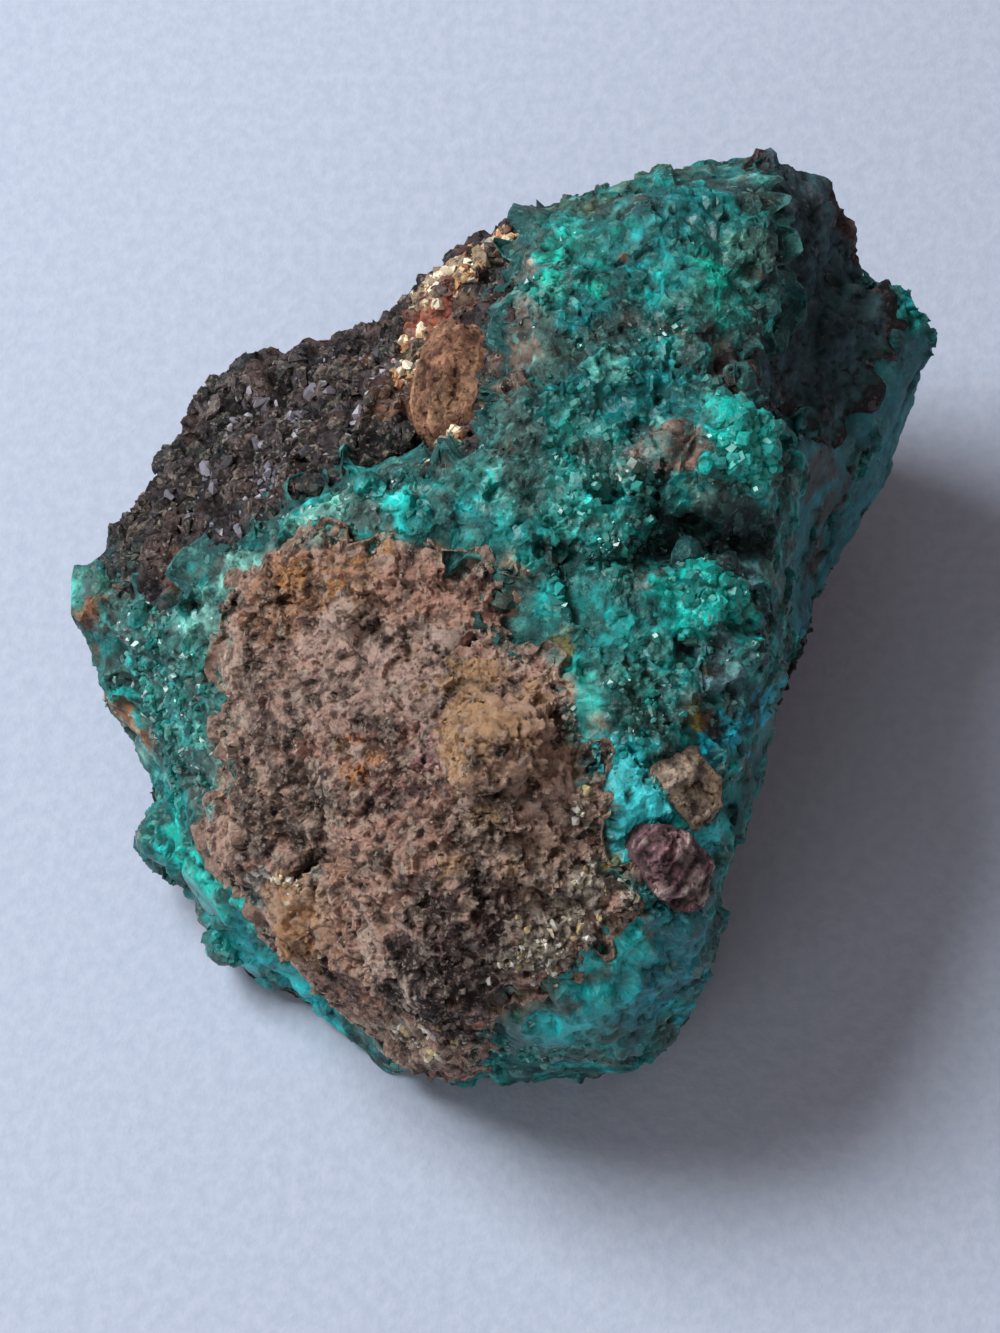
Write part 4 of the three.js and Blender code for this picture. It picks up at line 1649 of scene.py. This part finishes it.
RIM_CRUMBS = Patch(
    spots=(
        (-0.4, 30.2, 1.6), (-3, 28.2, 1.8), (-5.8, 25.8, 1.6), (-6.6, 22, 1.3), (-7.4, 19.4, 0.9),
        (1.2, 21.6, 0.9), (0.8, 18.8, 0.9), (-0.8, 15.8, 0.9), (-3.4, 13.8, 1.1), (-5.6, 12.4, 1),
    ),
)

HOST = Mineral(
    node="host_rock",
    slot="host_rock",
    finish=RockFinish(
        "host_rock", grain=0.9, shade=(12, 12, 13), glow=(150, 142, 146), roughness=0.65, depth=0.5,
    ),
    voxel=0.32,
    ground=((58, 50, 51), (36, 36, 37), (80, 64, 60)),
    patches=(
        Patch(
            spots=(
                (24, 31, 5), (26, 25, 6), (27, 18, 5), (22, 20, 4), (29, 22, 5), (24, 36, 3), (30, 17, 4),
                (27, 13, 3),
            ),
            colour=(72, 104, 112), strength=0.97, ragged=0.3,
        ),
        Patch(((22.5, 35, 2.6), (21.5, 32.4, 2.2), (24.6, 33.6, 2)), (46, 70, 74), 0.85),
        Patch(((22.4, 30.2, 0.9), (20.6, 19.6, 1.4), (22.4, 17.6, 1.2)), (88, 70, 66), 0.7),
        Patch(((-21, -28.6, 3), (-17, -31, 3), (-13, -33, 3), (-24, -26, 2.6)), (34, 108, 106), 0.95),
        Patch(RIM_CRUMBS.spots, (246, 216, 172), 0.9),
        Patch(((-4.6, 24.4, 2), (-6.6, 23.6, 1.6)), (184, 104, 80), 0.9, last=True),
        Patch(((-6, 12.6, 1.2), (-7, 11.4, 1)), (228, 208, 170), 0.95),
        Patch(((-2.8, 25.4, 1.2), (0.6, 21, 1.2), (1, 26, 0.9)), (200, 164, 134), 0.75),
        Patch(((3.6, 33, 1.8),), (28, 46, 42), 0.9),
        Patch(
            ((-8.8, 17.6, 2), (-11, 20.6, 1.6), (0, 18.4, 2), (-22, 5, 1.6), (-26.4, 4, 1.8)),
            (124, 90, 70),
        ),
        Patch(((-9, 13.6, 2.6),), (14, 16, 15), 0.95),
        Patch(((-22.6, 13.6, 1.6), (-30, 5, 2), (-19, 6.6, 1.8)), (44, 66, 62)),
    ),
    relief=host_relief,
    stains=(Stain("dioptase_crust", ((28, 72, 70), (48, 84, 78)), reach=2.6, side=-1.0),),
    zones={
        "calm": Patch(((25, 27, 8), (28, 18, 7), (24, 20, 5), (24, 35, 4))),
        "tucked": Patch(tuple((u, v, 5.0) for u, v, _ in LEDGE), ragged=0.2),
    },
    contrast=0.55,
    lap=0.8,
    sink=0.4,
    seed=37,
)

CHIPS = (
    Mineral(
        node="oval_brown_chip",
        slot="oval_chip",
        finish=RockFinish(
            "oval_chip", grain=0.6, shade=(60, 34, 24), glow=(206, 158, 120), roughness=0.8, depth=0.3,
        ),
        voxel=0.15,
        ground=((140, 100, 78), (108, 74, 60), (162, 124, 98)),
        patches=(),
        relief=chip_relief,
        side=1.0,
        lap=0.3,
        swell=0.4,
        seed=41,
    ),
    Mineral(
        node="tan_chip",
        slot="tan_chip",
        finish=RockFinish(
            "tan_chip", grain=0.6, shade=(58, 46, 38), glow=(206, 184, 150), roughness=0.85, depth=0.3,
        ),
        voxel=0.15,
        ground=((154, 136, 122), (108, 96, 88), (176, 152, 126)),
        patches=(),
        relief=chip_relief,
        contrast=0.5,
        worn=1,
        side=1.0,
        lap=0.3,
        swell=0.4,
        seed=43,
    ),
    Mineral(
        node="purple_chip",
        slot="purple_chip",
        finish=RockFinish(
            "purple_chip", grain=0.5, shade=(40, 20, 24), glow=(168, 126, 128), roughness=0.5, depth=0.25,
        ),
        voxel=0.15,
        ground=((134, 102, 106), (98, 72, 78), (166, 142, 138)),
        patches=(Patch(((15.6, -21.6, 1.6), (12, -20.8, 1), (11.6, -17, 0.8)), (112, 104, 96), 0.7),),
        relief=striated_relief,
        contrast=0.55,
        worn=0,
        side=1.0,
        lap=0.15,
        swell=0.0,
        seed=47,
    ),
)


class Shape(Enum):
    """The shapes of loose grains."""

    SPLINTER = "splinter"
    PRISM = "prism"


@dataclass(frozen=True)
class Grains:
    """Many small grains, half sunk in one mineral, as one mesh.

    Args:
        mineral: What they sit in.
        name: The piece's name.
        finish: Their material.
        shape: What each grain looks like.
        count: How many there are.
        sizes: The smallest and the largest, in millimetres across.
        palette: Their colours.
        place: Where they are, or None for all over the mineral.
        lean: How far they lean away from the way the surface faces.
        flatness: Their height over their width.
        own: How far they keep their palette over the mineral's tone under them.
        edge: Whether they keep to the contacts with the neighbours.
        sunk: How far their middles lie under the surface, over their size.
        seed: The number that they are drawn from.
    """

    mineral: Mineral
    name: str
    finish: Any
    shape: Shape
    count: int
    sizes: tuple[float, float]
    palette: tuple[Colour, ...]
    place: Union[Patch, None] = None
    lean: float = 0.5
    flatness: float = 1.0
    own: float = 0.5
    edge: bool = False
    sunk: float = 0.1
    seed: int = 1

    # How many different grains there are, how much commoner small ones are, and how their shades vary.
    TEMPLATES = 10
    SKEW = 1.6
    SHADE_SPREAD = 0.25
    # How far they keep from the CAD model's box, over the largest, and from the floor in millimetres.
    BOX_MARGIN = 0.4
    FLOOR_MARGIN = 1.0

    def build(self, skin: Skin) -> None:
        """Makes the grains.

        Args:
            skin: The whole specimen's surface.
        """
        random = np.random.default_rng(self.seed)
        chosen = self._chosen(skin, random)
        seats, ups = self.mineral.points[chosen], self.mineral.normals[chosen]
        sizes = self.sizes[0] * (self.sizes[1] / self.sizes[0]) ** (random.random(len(chosen)) ** self.SKEW)
        frames = self._frames(ups, random)
        kinds = random.integers(0, self.TEMPLATES, len(chosen))
        seats = seats - ups * (self.sunk * sizes)[:, None]
        palette = np.array([linear(colour) for colour in self.palette]) * FRESHNESS
        colours = palette[random.integers(0, len(palette), len(chosen))]
        colours *= np.exp(random.normal(0.0, self.SHADE_SPREAD, (len(chosen), 1)))
        colours = self.own * colours + (1.0 - self.own) * self.mineral.tone[chosen]
        points, faces, tones, first = [], [], [], 0
        for kind in range(self.TEMPLATES):
            corners, triangles = self._template(random)
            mine = np.flatnonzero(kinds == kind)
            placed = np.einsum("nij,kj->nki", frames[mine], corners) * sizes[mine, None, None]
            points.append((placed + seats[mine, None, :]).reshape(-1, 3))
            steps = first + len(corners) * np.arange(len(mine))
            faces.append((triangles[None] + steps[:, None, None]).reshape(-1, 3))
            tones.append(np.repeat(colours[mine], len(corners), axis=0))
            first += len(corners) * len(mine)
        mesh = bpy.data.meshes.new(self.name)
        corners = np.clip(np.concatenate(points), *cad_limits()) * MM
        mesh.from_pydata(corners.tolist(), [], np.concatenate(faces).tolist())
        # The grains' dip of 0.48 lies below where the materials start painting shade into hollows.
        Surface(mesh).write(tone=np.concatenate(tones), dip=np.full(first, 0.48), gloss=np.ones(first))
        mesh.materials.append(self.finish.material())
        piece = bpy.data.objects.new(self.name, mesh)
        bpy.context.scene.collection.objects.link(piece)
        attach(piece, "root")
        log.info("%s: %d grains, %d triangles", self.name, len(chosen), len(mesh.polygons))

    def _chosen(self, skin: Skin, random: np.random.Generator) -> np.ndarray:
        """Picks the mineral's points that carry a grain.

        Args:
            skin: The whole specimen's surface.
            random: What they are drawn with.

        Returns:
            The points' numbers.
        """
        mineral = self.mineral
        low, high = cad_limits()
        margin = self.BOX_MARGIN * self.sizes[1]
        fits = mineral.seen & (mineral.points[:, 2] > self.FLOOR_MARGIN + self.sizes[1])
        fits &= np.all((mineral.points > low + margin) & (mineral.points < high - margin), axis=1)
        places = np.flatnonzero(fits)
        points = mineral.points[places]
        weight = smooth_step(Noise(self.seed).fractal(points, 2.5, 3), -0.15, 0.3) + 0.1
        weight *= mineral.near[places] if self.edge else mineral.free[places]
        if self.place is not None:
            weight *= self.place.mask(points, skin, Noise(self.seed))
        count = min(self.count, np.count_nonzero(weight))
        return places[random.choice(len(places), count, replace=False, p=weight / weight.sum())]

    def _frames(self, ups: np.ndarray, random: np.random.Generator) -> np.ndarray:
        """Turns each grain its own way.

        Args:
            ups: Which way the surface faces under each.
            random: What they are turned with.

        Returns:
            A rotation for each grain.
        """
        ups = ups + self.lean * random.normal(size=ups.shape)
        ups /= np.linalg.norm(ups, axis=1, keepdims=True)
        side = np.cross(ups, random.normal(size=ups.shape))
        side /= np.linalg.norm(side, axis=1, keepdims=True)
        return np.stack([side, np.cross(ups, side), ups], axis=2)

    def _template(self, random: np.random.Generator) -> tuple[np.ndarray, np.ndarray]:
        """Makes one grain, about 1 across, round the origin.

        Args:
            random: What it is drawn with.

        Returns:
            Its corners and its triangles.
        """
        if self.shape is Shape.PRISM:
            turns = np.arange(6) * math.pi / 3
            ring = np.stack([0.5 * np.cos(turns), 0.5 * np.sin(turns)], axis=1)
            height = random.uniform(0.35, 0.7)
            tips = height + np.where(np.arange(6) % 2 == 0, 0.0, 0.22)
            foot = np.column_stack([ring, np.full(6, -0.4)])
            cloud = np.concatenate([foot, np.column_stack([ring, tips]), [[0, 0, height + 0.5]]])
            cloud += random.normal(0.0, 0.03, cloud.shape)
        else:
            cloud = random.normal(size=(11, 3))
            cloud /= np.linalg.norm(cloud, axis=1, keepdims=True)
            cloud *= 0.5 * np.array([1.0, random.uniform(0.6, 1.0), self.flatness])
        bm = bmesh.new()
        for corner in cloud:
            bm.verts.new(corner)
        hull = bmesh.ops.convex_hull(bm, input=bm.verts)
        bmesh.ops.delete(bm, geom=hull["geom_interior"], context="VERTS")
        bmesh.ops.triangulate(bm, faces=bm.faces)
        bm.verts.index_update()
        corners = np.array([vertex.co for vertex in bm.verts])
        triangles = np.array([[vertex.index for vertex in face.verts] for face in bm.faces])
        bm.free()
        return corners, triangles


CLEAR_DIOPTASE = CrystalFinish("dioptase_crystal", transmission=0.4, ior=1.66, roughness=0.1)
DULL_DIOPTASE = CrystalFinish("dull_dioptase_crystal", transmission=0.4, ior=1.6, roughness=0.3)
QUARTZ = CrystalFinish("quartz_grain", transmission=0.25, ior=1.55, roughness=0.2)
GRIT = RockFinish("grit", grain=0.5, shade=(24, 20, 19), glow=(196, 178, 160), roughness=0.6, depth=0.15)

GRAINS = (
    Grains(
        mineral=CRUST, name="dioptase_crystals", finish=CLEAR_DIOPTASE, shape=Shape.PRISM,
        count=800, sizes=(0.3, 0.8),
        palette=((40, 170, 158), (80, 196, 182), (24, 124, 116), (130, 204, 190)),
        place=SUGARY, lean=0.8, sunk=0.25, seed=3,
    ),
    Grains(
        mineral=CRUST, name="dioptase_splinters", finish=CLEAR_DIOPTASE, shape=Shape.SPLINTER,
        count=1200, sizes=(0.4, 1.2), palette=((40, 130, 124), (20, 84, 80), (90, 170, 160)),
        lean=0.7, flatness=0.5, own=0.3, sunk=0.25, seed=15,
    ),
    Grains(
        mineral=HOST, name="host_grains", finish=GRIT, shape=Shape.SPLINTER,
        count=1900, sizes=(0.6, 3.0),
        palette=((70, 62, 62), (40, 40, 42), (112, 98, 92), (92, 82, 86), (52, 62, 60)),
        place=Patch(((-22, 14, 9), (-12, 17, 9), (-28, 6, 6), (-4, 22, 8), (0, 30, 5), (-16, 8, 7))),
        lean=0.7, flatness=0.7, own=0.55, sunk=0.25, seed=5,
    ),
    Grains(
        mineral=HOST, name="rim_crumbs", finish=QUARTZ, shape=Shape.SPLINTER,
        count=520, sizes=(0.4, 1.7),
        palette=((236, 210, 164), (208, 156, 112), (246, 234, 208), (162, 108, 84)),
        place=RIM_CRUMBS, lean=0.8, flatness=0.7, own=0.95, seed=17,
    ),
    Grains(
        mineral=HOST, name="lilac_flecks", finish=QUARTZ, shape=Shape.SPLINTER,
        count=170, sizes=(0.5, 2.0),
        palette=((158, 152, 164), (128, 122, 132), (188, 182, 190), (106, 100, 108)),
        place=Patch(((-21, 13, 6), (-14.6, 17, 6), (-10, 19, 4), (-19, 11, 4))),
        lean=0.6, flatness=0.5, own=0.9, sunk=0.05, seed=7,
    ),
    Grains(
        mineral=SLAB, name="slab_grit", finish=GRIT, shape=Shape.SPLINTER,
        count=2600, sizes=(0.2, 0.7),
        palette=((150, 116, 98), (112, 82, 70), (190, 156, 130), (86, 60, 54)),
        lean=0.9, own=0.3, sunk=0.25, seed=9,
    ),
    Grains(
        mineral=SLAB, name="pale_crumbs", finish=QUARTZ, shape=Shape.SPLINTER,
        count=300, sizes=(0.3, 1.3),
        palette=((210, 200, 172), (184, 162, 110), (226, 220, 210), (150, 140, 128)),
        place=Patch(
            spots=(
                (8, -21.2, 2.2), (6, -24, 2.4), (3, -26.4, 2.2), (7.4, -14, 1.6), (4.4, -3, 1.4),
                (-6, -33, 3), (-16.4, -21, 1.6),
            ),
        ),
        lean=0.9, own=0.9, seed=13,
    ),
    Grains(
        mineral=HOST, name="host_crumbs", finish=GRIT, shape=Shape.SPLINTER,
        count=3600, sizes=(0.5, 2.2), palette=((66, 58, 58), (38, 38, 40), (100, 86, 80), (84, 76, 80)),
        lean=0.8, flatness=0.7, own=0.4, sunk=0.3, seed=19,
    ),
    Grains(
        mineral=SLAB, name="slab_edge_crumbs", finish=GRIT, shape=Shape.SPLINTER,
        count=1100, sizes=(0.3, 1.1),
        palette=((178, 150, 126), (118, 92, 80), (206, 194, 172), (44, 100, 94), (56, 46, 42)),
        lean=0.9, own=0.7, edge=True, sunk=0.3, seed=21,
    ),
    Grains(
        mineral=CRUST, name="crust_edge_crumbs", finish=CLEAR_DIOPTASE, shape=Shape.SPLINTER,
        count=1000, sizes=(0.3, 1.1),
        palette=((36, 120, 112), (20, 70, 66), (110, 160, 148), (58, 60, 54)),
        lean=0.9, own=0.6, edge=True, sunk=0.35, seed=25,
    ),
    Grains(
        mineral=CRUST, name="pale_sparks", finish=QUARTZ, shape=Shape.SPLINTER,
        count=150, sizes=(0.3, 0.9), palette=((214, 228, 222), (168, 196, 188), (140, 176, 170)),
        place=Patch(
            spots=(
                (-27, -2, 5), (-25, -9, 5), (-30, -6, 4), (-22, 3, 3), (-14, 8, 3), (8.7, 19.7, 2),
                (3, -33, 3), (8, 12, 2), (7, -6, 2),
            ),
        ),
        lean=0.9, own=0.9, sunk=0.15, seed=27,
    ),
    Grains(
        mineral=CRUST, name="slit_crystals", finish=CLEAR_DIOPTASE, shape=Shape.SPLINTER,
        count=240, sizes=(0.6, 1.6), palette=((36, 118, 112), (24, 90, 86), (60, 150, 140)),
        place=Patch(
            spots=(
                (4.6, 3.8, 0.8), (5, 2.6, 0.8), (5.4, 1.4, 0.8), (5.8, 0.2, 0.8), (12, 5.6, 0.9),
                (10.4, 5.5, 0.9), (8.8, 5.3, 0.9), (7.2, 5.1, 0.9),
            ),
            ragged=0.1,
        ),
        lean=0.9, own=0.5, sunk=0.3, seed=29,
    ),
    Grains(
        mineral=CRUST, name="lump_crystals", finish=DULL_DIOPTASE, shape=Shape.PRISM,
        count=620, sizes=(0.4, 1.3),
        palette=((64, 196, 184), (40, 150, 142), (110, 220, 206), (24, 104, 98)),
        place=Patch(
            spots=(
                (17.6, 17, 1.8), (17.5, 12.5, 1.5), (19.4, 13.6, 2.6), (11, 10.6, 1.2),
                (-22.8, -26.6, 1.6), (16.4, 2.6, 2),
            ),
            ragged=0.3,
        ),
        lean=0.9, own=0.3, sunk=0.3, seed=31,
    ),
)


# ---- Studio ------------------------------------------------------------------------------------


@dataclass(frozen=True)
class Studio:
    """The floor, the light and the camera.

    Args:
        distance: From the camera to the lump's centre, in millimetres.
        scale: Pixels to the millimetre at the lump's centre, in a frame 1333 pixels high.
        centre_px: The lump's centre below the top of that frame.
    """

    distance: float = 480.0
    scale: float = 12.5
    centre_px: float = 620.0

    FRAME_HEIGHT = 1333.0
    SENSOR = 24.0
    ELEVATION = math.radians(60)
    # In metres, from the floor's middle to each of its edges.
    FLOOR_REACH = 1.5
    # Each lamp's name, its place and its width in metres, and its power in watts.
    LAMPS = (("window", (-0.4, 0.16, 0.54), 0.34, 4.7), ("fill", (-0.3, -0.48, 0.26), 0.3, 0.5))
    LAMP_COLOUR = (0.93, 0.975, 1.0)
    LAMP_AIM = (0.0, 0.0, 0.02)
    SKY_COLOUR = (1.0, 0.85, 0.84, 1.0)
    SKY_STRENGTH = 0.175

    def build(self) -> None:
        """Builds all of it."""
        self._floor()
        self._light()
        self._camera()

    def _floor(self) -> None:
        """Lays the floor."""
        side = self.FLOOR_REACH
        mesh = bpy.data.meshes.new("floor")
        corners = [(-side, -side, 0.0), (side, -side, 0.0), (side, side, 0.0), (-side, side, 0.0)]
        mesh.from_pydata(corners, [], [(0, 1, 2, 3)])
        floor = bpy.data.objects.new("floor", mesh)
        bpy.context.scene.collection.objects.link(floor)
        graph = Graph("paper")
        fibres = graph.noise(1.2, 4.0)
        shade = fibres.ramp(0.3, 0.7).mix(linear((198, 208, 228)), linear((208, 216, 235)))
        relief = graph.bump(fibres, 0.1)
        mesh.materials.append(
            graph.dress(base_color=shade, roughness=0.9, normal=relief, specular_ior_level=0.2)
        )
        floor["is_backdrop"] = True

    def _light(self) -> None:
        """Hangs a large soft lamp on the left, a weak one in front of it and a dim sky round both."""
        for lamp in self.LAMPS:
            self._lamp(*lamp)
        world = bpy.data.worlds.new("sky")
        world.use_nodes = True
        sky = world.node_tree.nodes["Background"]
        sky.inputs["Color"].default_value = self.SKY_COLOUR
        sky.inputs["Strength"].default_value = self.SKY_STRENGTH
        bpy.context.scene.world = world

    def _lamp(self, name: str, place: tuple[float, float, float], side: float, energy: float) -> None:
        """Hangs a square lamp that faces the specimen.

        Args:
            name: The lamp's name.
            place: Where it hangs, in metres.
            side: How wide it is, in metres.
            energy: Its power in watts.
        """
        lamp = bpy.data.lights.new(name, "AREA")
        lamp.shape = "SQUARE"
        lamp.size = side
        lamp.energy = energy
        lamp.color = self.LAMP_COLOUR
        hung = bpy.data.objects.new(name, lamp)
        hung.location = place
        hung.rotation_euler = (Vector(self.LAMP_AIM) - hung.location).to_track_quat("-Z", "Y").to_euler()
        bpy.context.scene.collection.objects.link(hung)

    def _camera(self) -> None:
        """Places the camera, which looks down on the specimen from the front."""
        back = Vector((0.0, -math.cos(self.ELEVATION), math.sin(self.ELEVATION)))
        up = Vector((0.0, math.sin(self.ELEVATION), math.cos(self.ELEVATION)))
        drop = (self.FRAME_HEIGHT / 2.0 - self.centre_px) / self.scale
        target = (Vector((0.0, 0.0, CENTRE_HEIGHT)) - up * drop) * MM
        lens = bpy.data.cameras.new("camera")
        lens.sensor_fit = "VERTICAL"
        lens.sensor_height = self.SENSOR
        lens.lens = self.SENSOR * self.distance / (self.FRAME_HEIGHT / self.scale)
        lens.clip_start = 0.01
        lens.clip_end = 20.0
        camera = bpy.data.objects.new("camera", lens)
        camera.location = target + back * self.distance * MM
        camera.rotation_euler = (-back).to_track_quat("-Z", "Y").to_euler()
        bpy.context.scene.collection.objects.link(camera)
        bpy.context.scene.camera = camera


CAD_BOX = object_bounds()


def main() -> None:
    """Builds the specimen and its studio."""
    logging.basicConfig(level=logging.INFO, format="%(name)s: %(message)s")
    bpy.context.scene.view_settings.view_transform = "Standard"
    Studio().build()
    minerals = (HOST, CRUST, SLAB, *CHIPS)
    names = [mineral.node for mineral in minerals]
    skin = Skin(names)
    chips = Skin([chip.node for chip in CHIPS])
    for mineral in minerals:
        others = Skin([name for name in names if name != mineral.node])
        mineral.build(skin, others, None if mineral in CHIPS else chips)
    for grains in GRAINS:
        grains.build(skin)


if __name__ == "__main__":
    main()
